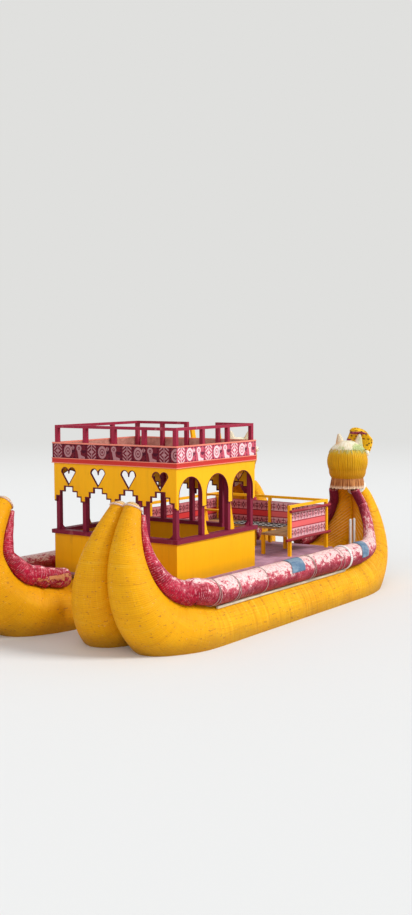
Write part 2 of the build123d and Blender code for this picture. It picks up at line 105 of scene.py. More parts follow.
class HullSettings(bpy.types.PropertyGroup):
    """Sizes of the reed bundles and of what ties them."""

    spacing: length_property("Spacing", "Between the middles of the two hulls", 2.73)
    flat: length_property("Flat", "How far a bundle is pressed flat where it meets its twin", 0.024)
    bedding: length_property("Bedding", "How deep a roll lies in its bundle", 0.020)
    winding: length_property("Winding", "From one turn of the binding cord to the next", 0.050)
    winding_depth: length_property("Winding depth", "Depth of the groove between turns", 0.0020)
    unevenness: length_property("Unevenness", "Height of the lumps along a bundle", 0.012)
    rope: length_property("Rope", "Radius of the ties round a roll", 0.009)
    rows: IntProperty(name="Rows", description="Sections along a bundle", default=880, min=60)
    sides: IntProperty(name="Sides", description="Points round a bundle", default=60, min=12)


class HeadSettings(bpy.types.PropertyGroup):
    """Sizes of the animal heads."""

    ribs: IntProperty(name="Ribs", description="Reeds round a head", default=52, min=8)
    rib_depth: length_property("Rib depth", "Depth of the groove between two reeds", 0.009)
    fringe: IntProperty(name="Fringe", description="Straws in the fringe of a neck", default=150)
    tuft: IntProperty(name="Tuft", description="Straws at the edge of a crown", default=170)


class CabinSettings(bpy.types.PropertyGroup):
    """Sizes of the cabin's trims."""

    edging: length_property("Edging", "Width of the painted edging round an opening", 0.024)
    proud: length_property("Proud", "How far an edging stands off its board", 0.005)
    gusset: length_property("Gusset", "Length of a gusset on the sill", 0.13)


class ColourSettings(bpy.types.PropertyGroup):
    """Colours of the finishes."""

    yellow_reed: colour_property("Yellow reed", "Paint on the bundles", 240, 174, 0)
    red_reed: colour_property("Red reed", "Paint on the gunwale rolls", 180, 24, 56)
    # Pink and white of flaked paint, also used as painted highlight where the rolls face up
    scuff_and_highlight: colour_property("Scuffed reed", "Where the red has worn to pink and white",
                           244, 216, 210)
    straw: colour_property("Straw", "Dry reed", 226, 198, 148)
    yellow: colour_property("Yellow paint", "Boards of the cabin", 252, 184, 0)
    maroon: colour_property("Maroon paint", "Posts, sill and rails", 128, 24, 54)
    red: colour_property("Red paint", "Strip under the roof's band", 200, 50, 42)
    salmon: colour_property("Salmon paint", "Cap of the roof and lines on its strip", 236, 138, 118)
    cream: colour_property("Cream", "Crowns, ears and eyes", 244, 236, 216)
    deck: colour_property("Deck", "Worn boards of the fore deck", 176, 132, 150)
    wood: colour_property("Bare wood", "Weathered timber", 150, 108, 70)
    tarpaulin: colour_property("Tarpaulin", "Patches round the rolls", 80, 110, 138)


class StageSettings(bpy.types.PropertyGroup):
    """Floor, lights and camera."""

    floor: colour_property("Floor", "Pale floor at the waterline", 224, 224, 222)
    key: FloatProperty(name="Key light", description="Strength of the main light", default=2.5)
    fill: FloatProperty(name="Fill light", description="Strength of the light from behind the "
                        "camera", default=0.75)
    sky: FloatProperty(name="Surroundings", description="Strength of the even light all round",
                       default=0.62)
    lens: FloatProperty(name="Lens", description="Focal length", default=44.7, unit="CAMERA")


def settings(group):
    return getattr(bpy.context.scene, "reed_boat_" + group)


# ---------------------------------------------------------------- surfaces

# Points, faces with four and with three corners and their places in the UV map, and for each
# point how bare of paint it is
Patch = namedtuple("Patch", "points quads quad_places tris tri_places bare")
LEVEL = np.array([0.0, 1.0, 0.0])
UP = np.array([0.0, 0.0, 1.0])
SMOOTH_ANGLE = math.radians(38)


def unit(vectors):
    return vectors / np.linalg.norm(vectors, axis=-1, keepdims=True)


def full_turn(count):
    """This many angles evenly round a circle."""
    return np.linspace(0, 2 * np.pi, count, endpoint=False)


def travelled(path):
    """Length along a closed path up to each of its points, and at last back to the first."""
    steps = np.linalg.norm(np.diff(np.concatenate([path, path[:1]]), axis=0), axis=1)
    return np.concatenate([[0], np.cumsum(steps)])


def circled(centres, radius, angle, across, over):
    """Points round each centre: centre plus radius times cosine across plus sine over. radius
    has a row for each centre and a column for each angle."""
    across, over = (np.broadcast_to(v, centres.shape)[:, None] for v in (across, over))
    return centres[:, None] + radius[..., None] * (np.cos(angle)[:, None] * across
                                                   + np.sin(angle)[:, None] * over)


def circle(centre, size, up, count):
    """A circle of this size about a centre, between level sideways and up."""
    angle = full_turn(count)
    return centre + size * (np.cos(angle)[:, None] * LEVEL + np.sin(angle)[:, None] * up)


def volume(points, quads, tris):
    """Signed volume of a closed skin, positive when its faces point outwards."""
    faces = np.concatenate([quads[:, [0, 1, 2]], quads[:, [0, 2, 3]], tris])
    a, b, c = (points[faces[:, k]] for k in range(3))
    return np.einsum("ij,ij->i", a, np.cross(b, c)).sum() / 6


def surface(points, along=None, around=None, loop_rows=False, loop_columns=False, capped=False,
            bare=None):
    """Faces over a grid of points, rows by columns. A cap is a fan of triangles from the middle
    of an end row. A closed skin is turned to face outwards."""
    rows, columns = points.shape[:2]
    along = np.arange(rows + 1.0) if along is None else np.asarray(along, float)
    around = np.arange(columns + 1.0) if around is None else np.asarray(around, float)
    i, j = np.meshgrid(np.arange(rows - (not loop_rows)), np.arange(columns - (not loop_columns)),
                       indexing="ij")
    i, j = i.ravel(), j.ravel()
    corner_i = np.stack([i, i, i + 1, i + 1], 1)
    corner_j = np.stack([j, j + 1, j + 1, j], 1)
    quads = corner_i % rows * columns + corner_j % columns
    quad_places = np.stack([along[corner_i], around[corner_j]], -1)
    flat = points.reshape(-1, 3)
    bare = np.zeros(rows) if bare is None else np.asarray(bare, float)
    bare = bare.ravel() if bare.ndim == 2 else np.repeat(bare, columns)
    tris = np.zeros((0, 3), int)
    tri_places = np.zeros((0, 3, 2))
    if capped:
        j = np.arange(columns)
        after = (j + 1) % columns
        middles = points[[0, -1]].mean(1)
        first = np.stack([np.full(columns, rows * columns), after, j], 1)
        last = np.stack([np.full(columns, rows * columns + 1),
                         (rows - 1) * columns + j, (rows - 1) * columns + after], 1)
        tris = np.concatenate([first, last])
        ends = [np.stack([np.full((columns, 3), along[row]),
                          np.stack([around[j], around[order[0]], around[order[1]]], 1)], -1)
                for row, order in ((0, (j + 1, j)), (rows - 1, (j, j + 1)))]
        tri_places = np.concatenate(ends)
        flat = np.concatenate([flat, middles])
        bare = np.concatenate([bare, bare[[0, -1]]])
    if loop_columns and (capped or loop_rows) and volume(flat, quads, tris) < 0:
        quads, quad_places = quads[:, ::-1], quad_places[:, ::-1]
        tris, tri_places = tris[:, ::-1], tri_places[:, ::-1]
    return Patch(flat, quads, quad_places, tris, tri_places, bare)


def repeated(copies, **options):
    """One small grid laid out many times. copies is an array: copy, row, column, axis."""
    count = len(copies)
    one = surface(copies[0], **options)
    flat = copies.reshape(count, -1, 3)
    if len(one.points) > flat.shape[1]:
        flat = np.concatenate([flat, copies[:, [0, -1]].mean(2)], 1)
    shift = np.arange(count)[:, None, None] * flat.shape[1]
    quads, tris = ((faces[None] + shift).reshape(-1, faces.shape[1])
                   for faces in (one.quads, one.tris))
    quad_places, tri_places = (np.tile(places, (count, 1, 1))
                               for places in (one.quad_places, one.tri_places))
    return Patch(flat.reshape(-1, 3), quads, quad_places, tris, tri_places,
                 np.tile(one.bare, count))


def frames(path, up, closed=False, mitre=False):
    """Sideways and upward directions along a path. With mitre, sideways grows at a corner as it
    does where two mouldings meet."""
    path = np.asarray(path, float)
    if closed:
        after, before = np.roll(path, -1, 0) - path, path - np.roll(path, 1, 0)
    else:
        step = np.diff(path, axis=0)
        after, before = np.concatenate([step, step[-1:]]), np.concatenate([step[:1], step])
    after, before = unit(after), unit(before)
    tangent = unit(after + before)
    side = unit(np.cross(np.broadcast_to(np.asarray(up, float), path.shape), tangent))
    rise = np.cross(tangent, side)
    if mitre:
        square = unit(np.cross(rise, after))
        side = side / np.clip((side * square).sum(-1, keepdims=True), 0.25, 1)
    return side, rise


def carried(profile, path, up, closed=False):
    """A flat profile (across, up) carried along a path."""
    path = np.asarray(path, float)
    side, rise = frames(path, up, closed, mitre=True)
    points = path[:, None] + profile[:, :1] * side[:, None] + profile[:, 1:] * rise[:, None]
    return surface(points, travelled(path), travelled(profile), loop_rows=closed,
                   loop_columns=True, capped=not closed)


def eased(width, height, ease, centre=(0.0, 0.0)):
    """Section of a squared timber with chamfered edges."""
    x, y = width / 2, height / 2
    corners = [(x - ease, -y), (x, -y + ease), (x, y - ease), (x - ease, y),
               (-x + ease, y), (-x, y - ease), (-x, -y + ease), (-x + ease, -y)]
    return np.array(corners) + centre


def tube(path, radius, up, sides=12, closed=False):
    """A round section carried along a path. radius is one number, or one for each point."""
    path = np.asarray(path, float)
    side, rise = frames(path, up, closed)
    radius = np.broadcast_to(np.asarray(radius, float), (len(path), sides))
    points = circled(path, radius, full_turn(sides), side, rise)
    return surface(points, travelled(path), np.linspace(0, 1, sides + 1), loop_rows=closed,
                   loop_columns=True, capped=not closed)


def ball(centre, radius, axis, rows=18, columns=28):
    """A sphere about an axis: polar angle by rows, azimuth by columns. Its place holds both."""
    axis = unit(np.asarray(axis, float))
    first = unit(np.cross(axis, [0.3, 0.2, 0.9]))
    second = np.cross(axis, first)
    polar = np.linspace(0.02, np.pi - 0.02, rows)[:, None, None]
    turn = full_turn(columns)[None, :, None]
    points = np.asarray(centre) + radius * (np.cos(polar) * axis + np.sin(polar)
                                            * (np.cos(turn) * first + np.sin(turn) * second))
    return surface(points, np.append(polar.ravel(), np.pi), np.linspace(0, 1, columns + 1),
                   loop_columns=True, capped=True)


def waves(u, v, seed, count=9, u_scale=6.0, v_scale=3):
    """Smooth lumps between -1 and 1: a sum of cosines of u and of whole turns of v."""
    draw = np.random.default_rng(seed)
    total = np.zeros(np.broadcast(u, v).shape)
    for _ in range(count):
        total += np.cos(u * draw.uniform(0.3, 1) * u_scale + v * draw.integers(0, v_scale + 1)
                        + draw.uniform(0, 6.28))
    return total / count


def make_piece(name, dressed, stands_for=()):
    """A mesh from patches, each list of them with its material. It rides on the boat's body and
    stands for the nodes named."""
    groups = [(patch, index) for index, (_, patches) in enumerate(dressed) for patch in patches]
    shifts = np.cumsum([0] + [len(patch.points) for patch, _ in groups])
    corners, sizes, places, marks = [], [], [], []
    for (patch, index), shift in zip(groups, shifts):
        for faces, uv in ((patch.quads, patch.quad_places), (patch.tris, patch.tri_places)):
            if len(faces):
                corners.append((faces + shift).ravel())
                sizes.append(np.full(len(faces), faces.shape[1]))
                places.append(uv.reshape(-1, 2))
                marks.append(np.full(len(faces), index))
    points = np.concatenate([patch.points for patch, _ in groups])
    corners, sizes, places, marks = map(np.concatenate, (corners, sizes, places, marks))
    mesh = bpy.data.meshes.new(name)
    mesh.vertices.add(len(points))
    mesh.vertices.foreach_set("co", points.astype(np.float32).ravel())
    mesh.loops.add(len(corners))
    mesh.loops.foreach_set("vertex_index", corners.astype(np.int32))
    mesh.polygons.add(len(sizes))
    starts = np.concatenate([[0], np.cumsum(sizes)[:-1]])
    mesh.polygons.foreach_set("loop_start", starts.astype(np.int32))
    mesh.polygons.foreach_set("material_index", marks.astype(np.int32))
    mesh.polygons.foreach_set("use_smooth", np.ones(len(sizes), bool))
    mesh.update(calc_edges=True)
    layer = mesh.uv_layers.new(name=PLACE)
    layer.data.foreach_set("uv", places.astype(np.float32).ravel())
    bare = mesh.attributes.new(BARE, "FLOAT", "POINT")
    bare.data.foreach_set("value", np.concatenate([patch.bare for patch, _ in groups])
                          .astype(np.float32))
    mesh.set_sharp_from_angle(angle=SMOOTH_ANGLE)
    for material, _ in dressed:
        mesh.materials.append(material)
    piece = bpy.data.objects.new(name, mesh)
    bpy.context.scene.collection.objects.link(piece)
    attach(piece, BODY)
    if stands_for:
        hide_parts(*stands_for)
    return piece


def thicken(piece, thickness, offset):
    """Gives a sheet its thickness: on its outer side with offset 1, half on each with 0."""
    shell = piece.modifiers.new("thickness", "SOLIDIFY")
    shell.thickness, shell.offset = thickness, offset


def dress(material, *nodes):
    """Puts a material on nodes of the frame that keep their shape."""
    for node in nodes:
        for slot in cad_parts[node].material_slots:
            slot.material = material


# ---------------------------------------------------------------- finishes

class Field:
    """A number or colour that varies over a surface. Sums and products of it add Math nodes."""

    def __init__(self, finish, socket):
        self.finish, self.socket = finish, socket

    def math(self, operation, *others):
        node = self.finish.node("ShaderNodeMath", operation=operation)
        for socket, value in zip(node.inputs, (self,) + others):
            self.finish.put(socket, value)
        return Field(self.finish, node.outputs[0])

    def __add__(self, other):
        return self.math("ADD", other)

    def __sub__(self, other):
        return self.math("SUBTRACT", other)

    def __mul__(self, other):
        return self.math("MULTIPLY", other)

    def __truediv__(self, other):
        return self.math("DIVIDE", other)

    def __pow__(self, other):
        return self.math("POWER", other)

    def __abs__(self):
        return self.math("ABSOLUTE")

    def invert(self):
        return self.math("MULTIPLY_ADD", -1.0, 1.0)

    def fract(self):
        return self.math("FRACT")

    def floor(self):
        return self.math("FLOOR")

    def wave(self, length):
        """A sine between 0 and 1 with this wavelength."""
        return (self * (2 * math.pi / length)).math("SINE").math("MULTIPLY_ADD", 0.5, 0.5)

    def below(self, edge):
        return self.math("LESS_THAN", edge)

    def above(self, edge):
        return self.math("GREATER_THAN", edge)

    def either(self, other):
        return self.math("MAXIMUM", other)

    def both(self, other):
        return self.math("MINIMUM", other)

    def rise(self, low, high):
        """From 0 at low to 1 at high, smooth at both ends."""
        node = self.finish.node("ShaderNodeMapRange", interpolation_type="SMOOTHSTEP")
        for key, value in (("Value", self), ("From Min", low), ("From Max", high)):
            self.finish.put(node.inputs[key], value)
        return Field(self.finish, node.outputs["Result"])

    def cell(self, pitch):
        """Distance from the middle of the cell that a point is in, for cells of this width."""
        return ((self / pitch).fract() - 0.5) * pitch


class Finish:
    """One procedural material, and short ways to add nodes to it."""

    def __init__(self, name, roughness=0.6, specular=0.5):
        self.material = bpy.data.materials.new(name)
        self.material.use_nodes = True
        self.tree = self.material.node_tree
        self.tree.nodes.clear()
        self.shader = self.node("ShaderNodeBsdfPrincipled")
        output = self.node("ShaderNodeOutputMaterial")
        self.tree.links.new(self.shader.outputs[0], output.inputs["Surface"])
        self.shader.inputs["Specular IOR Level"].default_value = specular
        self.put(self.shader.inputs["Roughness"], roughness)

    def node(self, kind, **values):
        node = self.tree.nodes.new(kind)
        for key, value in values.items():
            setattr(node, key, value)
        return node

    def put(self, socket, value):
        if isinstance(value, Field):
            self.tree.links.new(value.socket, socket)
        elif socket.type == "RGBA":
            socket.default_value = (*tuple(value)[:3], 1.0)
        else:
            socket.default_value = value

    def place(self):
        """Place on the boat."""
        return Field(self, self.node("ShaderNodeTexCoord").outputs["Object"])

    def split(self, vector):
        node = self.node("ShaderNodeSeparateXYZ")
        self.put(node.inputs[0], vector)
        return [Field(self, output) for output in node.outputs]

    def join(self, x, y, z=0.0):
        node = self.node("ShaderNodeCombineXYZ")
        for socket, value in zip(node.inputs, (x, y, z)):
            self.put(socket, value)
        return Field(self, node.outputs[0])

    def scaled(self, vector, x, y, z):
        node = self.node("ShaderNodeMapping")
        self.put(node.inputs["Vector"], vector)
        node.inputs["Scale"].default_value = (x, y, z)
        return Field(self, node.outputs[0])

    def run(self):
        """Length along a piece and share of the way round it, from its own UV map."""
        return self.split(Field(self, self.node("ShaderNodeUVMap", uv_map=PLACE).outputs[0]))[:2]

    def bared(self):
        return Field(self, self.node("ShaderNodeAttribute", attribute_name=BARE).outputs["Fac"])

    def facing(self):
        """Outward direction of the surface, as three numbers."""
        return self.split(Field(self, self.node("ShaderNodeNewGeometry").outputs["Normal"]))

    def noise(self, vector, scale, detail=3.0, roughness=0.55):
        node = self.node("ShaderNodeTexNoise")
        self.put(node.inputs["Vector"], vector)
        for key, value in (("Scale", scale), ("Detail", detail), ("Roughness", roughness)):
            node.inputs[key].default_value = value
        return Field(self, node.outputs["Fac"])

    def squares(self, x, y, pitch):
        """A random number for each square of a grid of this pitch over two lengths."""
        node = self.node("ShaderNodeTexWhiteNoise", noise_dimensions="2D")
        self.put(node.inputs["Vector"], self.join((x / pitch).floor(), (y / pitch).floor()))
        return Field(self, node.outputs["Value"])

    def cells(self, vector, scale, randomness=1.0, dimensions="3D"):
        """Distance to the nearest of the points scattered at this many to a metre."""
        node = self.node("ShaderNodeTexVoronoi", voronoi_dimensions=dimensions)
        self.put(node.inputs["Vector"], vector)
        node.inputs["Scale"].default_value = scale
        node.inputs["Randomness"].default_value = randomness
        return Field(self, node.outputs["Distance"])

    def mix(self, share, first, second):
        node = self.node("ShaderNodeMix", data_type="RGBA")
        self.put(node.inputs["Factor"], share)
        self.put(node.inputs[6], first)
        self.put(node.inputs[7], second)
        return Field(self, node.outputs[2])

    def layered(self, colour, *coats):
        """Each coat, a share and a colour, mixed over what is below it."""
        for share, tint in coats:
            colour = self.mix(share, colour, tint)
        return colour

    def done(self, colour, height=None, depth=0.002, roughness=None):
        """Sets the colour, a bump of this height in metres, and the roughness."""
        self.put(self.shader.inputs["Base Color"], colour)
        if height is not None:
            node = self.node("ShaderNodeBump")
            node.inputs["Distance"].default_value = depth
            self.put(node.inputs["Height"], height)
            self.put(self.shader.inputs["Normal"], Field(self, node.outputs[0]))
        if roughness is not None:
            self.put(self.shader.inputs["Roughness"], roughness)
        return self.material


def shaded(colour, factor):
    """A colour times one factor, or three, kept within its range."""
    return tuple(np.clip(np.array(tuple(colour)[:3]) * factor, 0, 1))


def chosen(share, first, second):
    """first where share is 1, second where it is 0."""
    return share * first + share.invert() * second


def yellow_reed_finish():
    """Yellow paint over cord-wound reeds: fine faint turns of cord, streaks across and fibres
    along the bundle, faint bindings that are stronger towards the bow, a darker orange on the
    faces inside the bow that look aft, which is painted shade, with chevrons there, a darker ochre
    over the stern, also painted shade, scrapes, grime along the water and bare straw at the cut
    tips."""
    colours, hull = settings("colours"), settings("hull")
    finish = Finish("painted_yellow_reed", specular=0.16)
    along, around = finish.run()
    place = finish.place()
    x, y, z = finish.split(place)
    ahead, _, _ = finish.facing()
    turn = (along * 2 / hull.winding + around).fract()
    groove = abs(turn - 0.5).rise(0.0, 0.3).invert()
    streaks = finish.noise(finish.join(along * 15, around * 2.0), 1.0, 4.0, 0.7)
    broad = finish.noise(place, 0.8, 4.0)
    fine = finish.noise(place, 9.0, 5.0, 0.65)
    reeds = finish.noise(finish.join(along * 1.3, around * 150), 1.0, 3.0)
    midships = x.rise(-3.6, -1.6) * 0.6 + 0.4
    wander = finish.noise(finish.join(along * 0.5, around * 6), 1.0, 2.0)
    binding = abs((along + wander * 0.12).cell(0.25)).rise(0.003, 0.013).invert()
    apart = abs(abs(y) - hull.spacing / 2)
    inside = ahead.rise(-0.65, -0.4).invert() * x.rise(3.0, 3.3)
    chevron = abs((z + apart * 0.9 + fine * 0.02).cell(0.07)).rise(0.003, 0.016).invert()
    scrape = finish.noise(finish.scaled(place, 9, 20, 34), 1.0, 3.0, 0.6).rise(0.62, 0.67)
    chip = finish.noise(finish.scaled(place, 26, 26, 40), 1.0, 2.0).rise(0.70, 0.74)
    drips = finish.noise(finish.scaled(place, 2.2, 2.2, 1.1), 1.0, 5.0, 0.7)
    wet = (z + drips * 0.3 - 0.15).rise(0.0, 0.34).invert()
    grime = (wet * 0.75).either(z.rise(0.0, 0.06).invert() * 0.8)
    ends = finish.noise(finish.join(along * 30, around * 90), 1.0, 2.0)
    straw = finish.mix(ends.rise(0.4, 0.6), colours.straw, seen(170, 130, 84))
    colour = finish.layered(
        colours.yellow_reed,
        (broad.rise(0.35, 0.7), shaded(colours.yellow_reed, (0.9, 0.80, 0.5))),
        (reeds.rise(0.5, 0.75) * 0.45, seen(255, 204, 20)),
        (reeds.rise(0.28, 0.46).invert() * 0.35, seen(204, 132, 4)),
        (streaks.rise(0.36, 0.50).invert() * midships * 0.5, seen(196, 124, 0)),
        (streaks.rise(0.56, 0.66) * midships * 0.34, seen(255, 224, 92)),
        (groove * (fine.rise(0.35, 0.7) * 0.14 + 0.12), seen(160, 92, 6)),
        # Painted shade: darker ochre over the stern, where its faces turn away from the light
        (x.rise(-3.7, -2.3).invert() * 0.35, seen(206, 132, 0)),
        (binding * (x.rise(0.2, 3.4) * 0.16 + 0.03), seen(150, 84, 14)),
        # Painted shade: darker orange on the faces inside the bow that look aft
        (inside * 0.6, seen(222, 132, 0)),
        (chevron * inside * z.rise(1.2, 1.8).invert() * 0.7, seen(238, 184, 110)),
        (chevron * inside * z.rise(1.2, 1.8) * 0.3, seen(150, 82, 10)),
        (scrape * 0.55, seen(150, 80, 44)),
        (chip * 0.5, seen(236, 190, 150)),
        (grime * 0.65, seen(110, 80, 30)),
        (finish.bared().rise(0.35, 0.65), straw))
    height = groove.invert() * 0.6 + fine * 0.25 + reeds * 0.35 - binding * 0.25
    return finish.done(colour, height, 0.004, fine.rise(0.3, 0.8) * 0.2 + 0.5)


def red_reed_finish():
    """Crimson paint over wound reeds, flaked to pink and white in patches and round the tips.
    The flakes gather where it faces up, which is partly painted highlight, and are fewer on the
    port hull, which is partly painted shade; a smooth pink painted highlight lies round them.
    Where it faces down it is darker, which is painted shade. Mottled in small squares, with pale
    cross lines at the stern and a straw-coloured patch of wear on the port hull's inner roll."""
    colours, hull = settings("colours"), settings("hull")
    finish = Finish("painted_red_reed", specular=0.16)
    along, around = finish.run()
    place = finish.place()
    x, y, z = finish.split(place)
    _, _, up = finish.facing()
    turn = (along / (hull.winding * 0.8) + around).fract()
    groove = abs(turn - 0.5).rise(0.0, 0.24).invert()
    broad = finish.noise(place, 2.2, 4.0, 0.6)
    fine = finish.noise(finish.scaled(place, 1, 1.6, 1.6), 12.0, 5.0, 0.7)
    flake = finish.noise(finish.join(along * 7, around * 13), 1.0, 6.0, 0.75)
    square = finish.squares(along, around, 0.024)
    forward = x.rise(-3.4, -2.2)
    bow = z.rise(0.8, 1.3) * x.above(0.0)
    tip = z.rise(1.5, 1.95) * x.below(0.0)
    # Wear mask: flaking noise, raised where the roll faces up as painted highlight and lowered on
    # the port hull as painted shade
    wear = flake + up * 0.19 + forward * 0.13 + fine * 0.10 + tip * 0.03 - bow * 0.07 \
        - y.above(0.0) * 0.05 - 0.09
    flaked_and_lit = wear.rise(0.635, 0.675)
    pale = finish.mix(square.above(0.66) * 0.45, colours.scuff_and_highlight, seen(208, 136, 140))
    # Painted shade: darker crimson where a roll faces down, from midships forward
    under = up.rise(-0.35, 0.25).invert() * forward
    low = z.rise(0.30, 0.60).invert() * broad.rise(0.35, 0.6)
    inner_stern = y.rise(0.0, 0.3) * y.below(hull.spacing / 2) * x.below(-2.9) * z.below(0.95)
    straw = finish.mix(finish.cells(place, 60.0).rise(0.2, 0.6), seen(196, 120, 96),
                       seen(110, 22, 30))
    colour = finish.layered(
        colours.red_reed,
        (broad.rise(0.4, 0.65), shaded(colours.red_reed, (0.62, 0.5, 0.5))),
        (square.above(0.6) * forward * 0.35, seen(190, 96, 104)),
        (square.below(0.25) * 0.5, seen(98, 12, 30)),
        # Painted highlight: smooth pink where the wear mask runs high, mostly on faces turned up
        (wear.rise(0.48, 0.64) * 0.6, seen(216, 106, 120)),
        (flaked_and_lit * 0.92, pale),
        (under * (broad.rise(0.3, 0.6) * 0.3 + 0.35), seen(112, 18, 40)),
        (groove * x.below(-1.7) * fine.rise(0.45, 0.6) * 0.45, seen(240, 190, 196)),
        (groove * x.above(-1.7) * 0.3, seen(120, 30, 48)),
        (low * 0.35, seen(66, 18, 22)),
        # Painted shade: darker maroon where the bow rolls face down
        (bow * up.rise(-0.2, 0.4).invert() * 0.6, seen(84, 14, 40)),
        (inner_stern * (flake + up * 0.12).rise(0.47, 0.54) * 0.8, seen(208, 148, 92)),
        (finish.bared().rise(0.35, 0.65), straw))
    height = groove.invert() * 0.6 + fine * 0.5 + square * 0.12 - flaked_and_lit * 0.3
    return finish.done(colour, height, 0.004, flaked_and_lit * 0.15 + 0.55)


def straw_finish(name, colour, dark, pale, below):
    """Loose straw: fibres run along the piece, in pale and brown strands, with paler ends below
    a height."""
    finish = Finish(name, roughness=0.8, specular=0.15)
    along, around = finish.run()
    place = finish.place()
    _, _, z = finish.split(place)
    fibre = finish.noise(finish.join(along * 3.0, around * 150.0), 1.0, 3.0, 0.6)
    patch = finish.noise(place, 6.0)
    ends = (z - fibre * 0.06).rise(below - 0.04, below + 0.02).invert()
    colour = finish.layered(
        dark,
        (fibre.rise(0.38, 0.64), colour),
        (patch.rise(0.5, 0.75) * 0.3, shaded(colour, (0.85, 0.72, 0.55))),
        (ends * 0.8, pale))
    return finish.done(colour, fibre, 0.006)


def crown_finish():
    """Cream straw with green streaks, most of them on the side of the crown that faces forward
    and to starboard, and browner where an ear faces port, which is painted shade."""
    finish = Finish("crown_straw", roughness=0.8, specular=0.15)
    along, around = finish.run()
    place = finish.place()
    x, y, z = finish.split(place)
    _, port, _ = finish.facing()
    fibre = finish.noise(finish.join(along * 3.0, around * 120.0), 1.0, 3.0, 0.6)
    patch = finish.noise(place, 7.0, 3.0)
    aside = y - y.math("SIGN") * (settings("hull").spacing / 2)
    turned = (x - HEAD_FORWARD) * 0.6 - aside * 0.8
    green = patch * 0.5 + fibre * 0.5 + turned * 0.35 + finish.bared() * 0.16 - z * 0.25
    colour = finish.layered(
        seen(222, 202, 164),
        (fibre.rise(0.36, 0.6) * 0.85, settings("colours").cream),
        (green.rise(-0.17, -0.10) * 0.7, seen(160, 184, 100)),
        # Painted shade: brown on the faces of the ears that look to port, away from the light
        (port.rise(0.0, 0.45) * z.rise(2.83, 2.87) * 0.75, seen(212, 148, 84)))
    return finish.done(colour, fibre, 0.006)


def head_finish():
    """Ochre yellow paint over upright reeds, browner in its hollows and towards the neck, and
    greener under the crown."""
    finish = Finish("painted_head_reed", roughness=0.6, specular=0.2)
    along, around = finish.run()
    place = finish.place()
    _, _, z = finish.split(place)
    fibre = finish.noise(finish.join(along * 2.2, around * 150), 1.0, 4.0, 0.65)
    patch = finish.noise(place, 4.0, 4.0, 0.6)
    low = (z + fibre * 0.22).rise(HEAD_LOW[2] + 0.12, HEAD_LOW[2] + 0.52).invert()
    high = (z + fibre * 0.14 + patch * 0.1).rise(HEAD_HIGH[2] - 0.02, HEAD_HIGH[2] + 0.12)
    colour = finish.layered(
        seen(222, 164, 0),
        (fibre.rise(0.38, 0.62) * 0.7, seen(172, 118, 0)),
        (patch.rise(0.46, 0.66) * 0.45, seen(198, 152, 0)),
        (low * 0.5, seen(176, 108, 6)),
        (fibre.rise(0.62, 0.72) * 0.4, seen(240, 190, 60)),
        (high * 0.5, seen(212, 196, 70)))
    return finish.done(colour, fibre, 0.006)


def spotted_finish():
    """Yellow reed with dark round spots outside and a maroon lining inside, which the bare
    value marks."""
    colours = settings("colours")
    finish = Finish("spotted_reed", roughness=0.6, specular=0.2)
    along, around = finish.run()
    place = finish.place()
    fine = finish.noise(place, 16.0, 4.0)
    spots = (finish.cells(finish.join(along * 10.5, around * 11.0), 1.0, 0.75, "2D")
             + fine * 0.1).rise(0.25, 0.32).invert()
    fibre = finish.noise(finish.join(along * 3, around * 60), 1.0, 3.0)
    lining = finish.mix(fine.rise(0.4, 0.7), seen(176, 84, 112), shaded(colours.maroon, 0.6))
    colour = finish.layered(
        seen(240, 184, 20),
        (fibre.rise(0.4, 0.7) * 0.6, seen(192, 130, 6)),
        (spots * 0.85, seen(84, 52, 12)),
        (finish.bared().rise(0.4, 0.6), lining))
    return finish.done(colour, fibre, 0.004)


def eye_finish():
    """Cream ball with a dark pupil at its pole."""
    finish = Finish("painted_eye", roughness=0.35)
    polar, _ = finish.run()
    speck = finish.noise(finish.place(), 40.0)
    cream = finish.mix(speck.rise(0.4, 0.7), settings("colours").cream, seen(205, 192, 160))
    return finish.done(finish.mix(polar.below(0.52), cream, seen(22, 16, 14)), speck, 0.001)


def board_finish(name, colour, undercoat, grain_axis=2, wear=0.6, grime=0.0):
    """Paint on boards: brushed grain along the boards, thin patches that show the undercoat and
    grime towards the deck."""
    finish = Finish(name, specular=0.22)
    place = finish.place()
    stretch = [14.0, 14.0, 14.0]
    stretch[grain_axis] = 1.1
    grain = finish.noise(finish.scaled(place, *stretch), 1.0, 5.0, 0.65)
    broad = finish.noise(place, 1.7, 4.0, 0.6)
    thin = (grain * 0.6 + broad).rise(0.95, 1.06)
    colour = finish.layered(
        colour,
        (broad.rise(0.3, 0.75) * 0.5, shaded(colour, (0.92, 0.86, 0.8))),
        (grain.rise(0.45, 0.8) * 0.16, shaded(undercoat, 0.8)),
        (thin * wear, undercoat))
    if grime:
        _, _, z = finish.split(place)
        foot = (z - FLOOR + broad * 0.2).rise(0.1, 0.34).invert()
        colour = finish.mix(foot * grime, colour, seen(120, 86, 40))
    return finish.done(colour, grain * 0.5, 0.002, grain * 0.2 + 0.45)


def wood_finish(name, colour, axis=0):
    """Weathered timber with its grain along one axis."""
    finish = Finish(name, roughness=0.8, specular=0.25)
    place = finish.place()
    stretch = [16.0, 16.0, 16.0]
    stretch[axis] = 0.9
    grain = finish.noise(finish.scaled(place, *stretch), 1.0, 5.0, 0.7)
    patch = finish.noise(place, 2.5, 4.0)
    result = finish.mix(grain.rise(0.36, 0.68), shaded(colour, 0.55), colour)
    result = finish.mix(patch.rise(0.5, 0.72) * 0.4, result, shaded(colour, (1.25, 1.28, 1.35)))
    return finish.done(result, grain, 0.003)


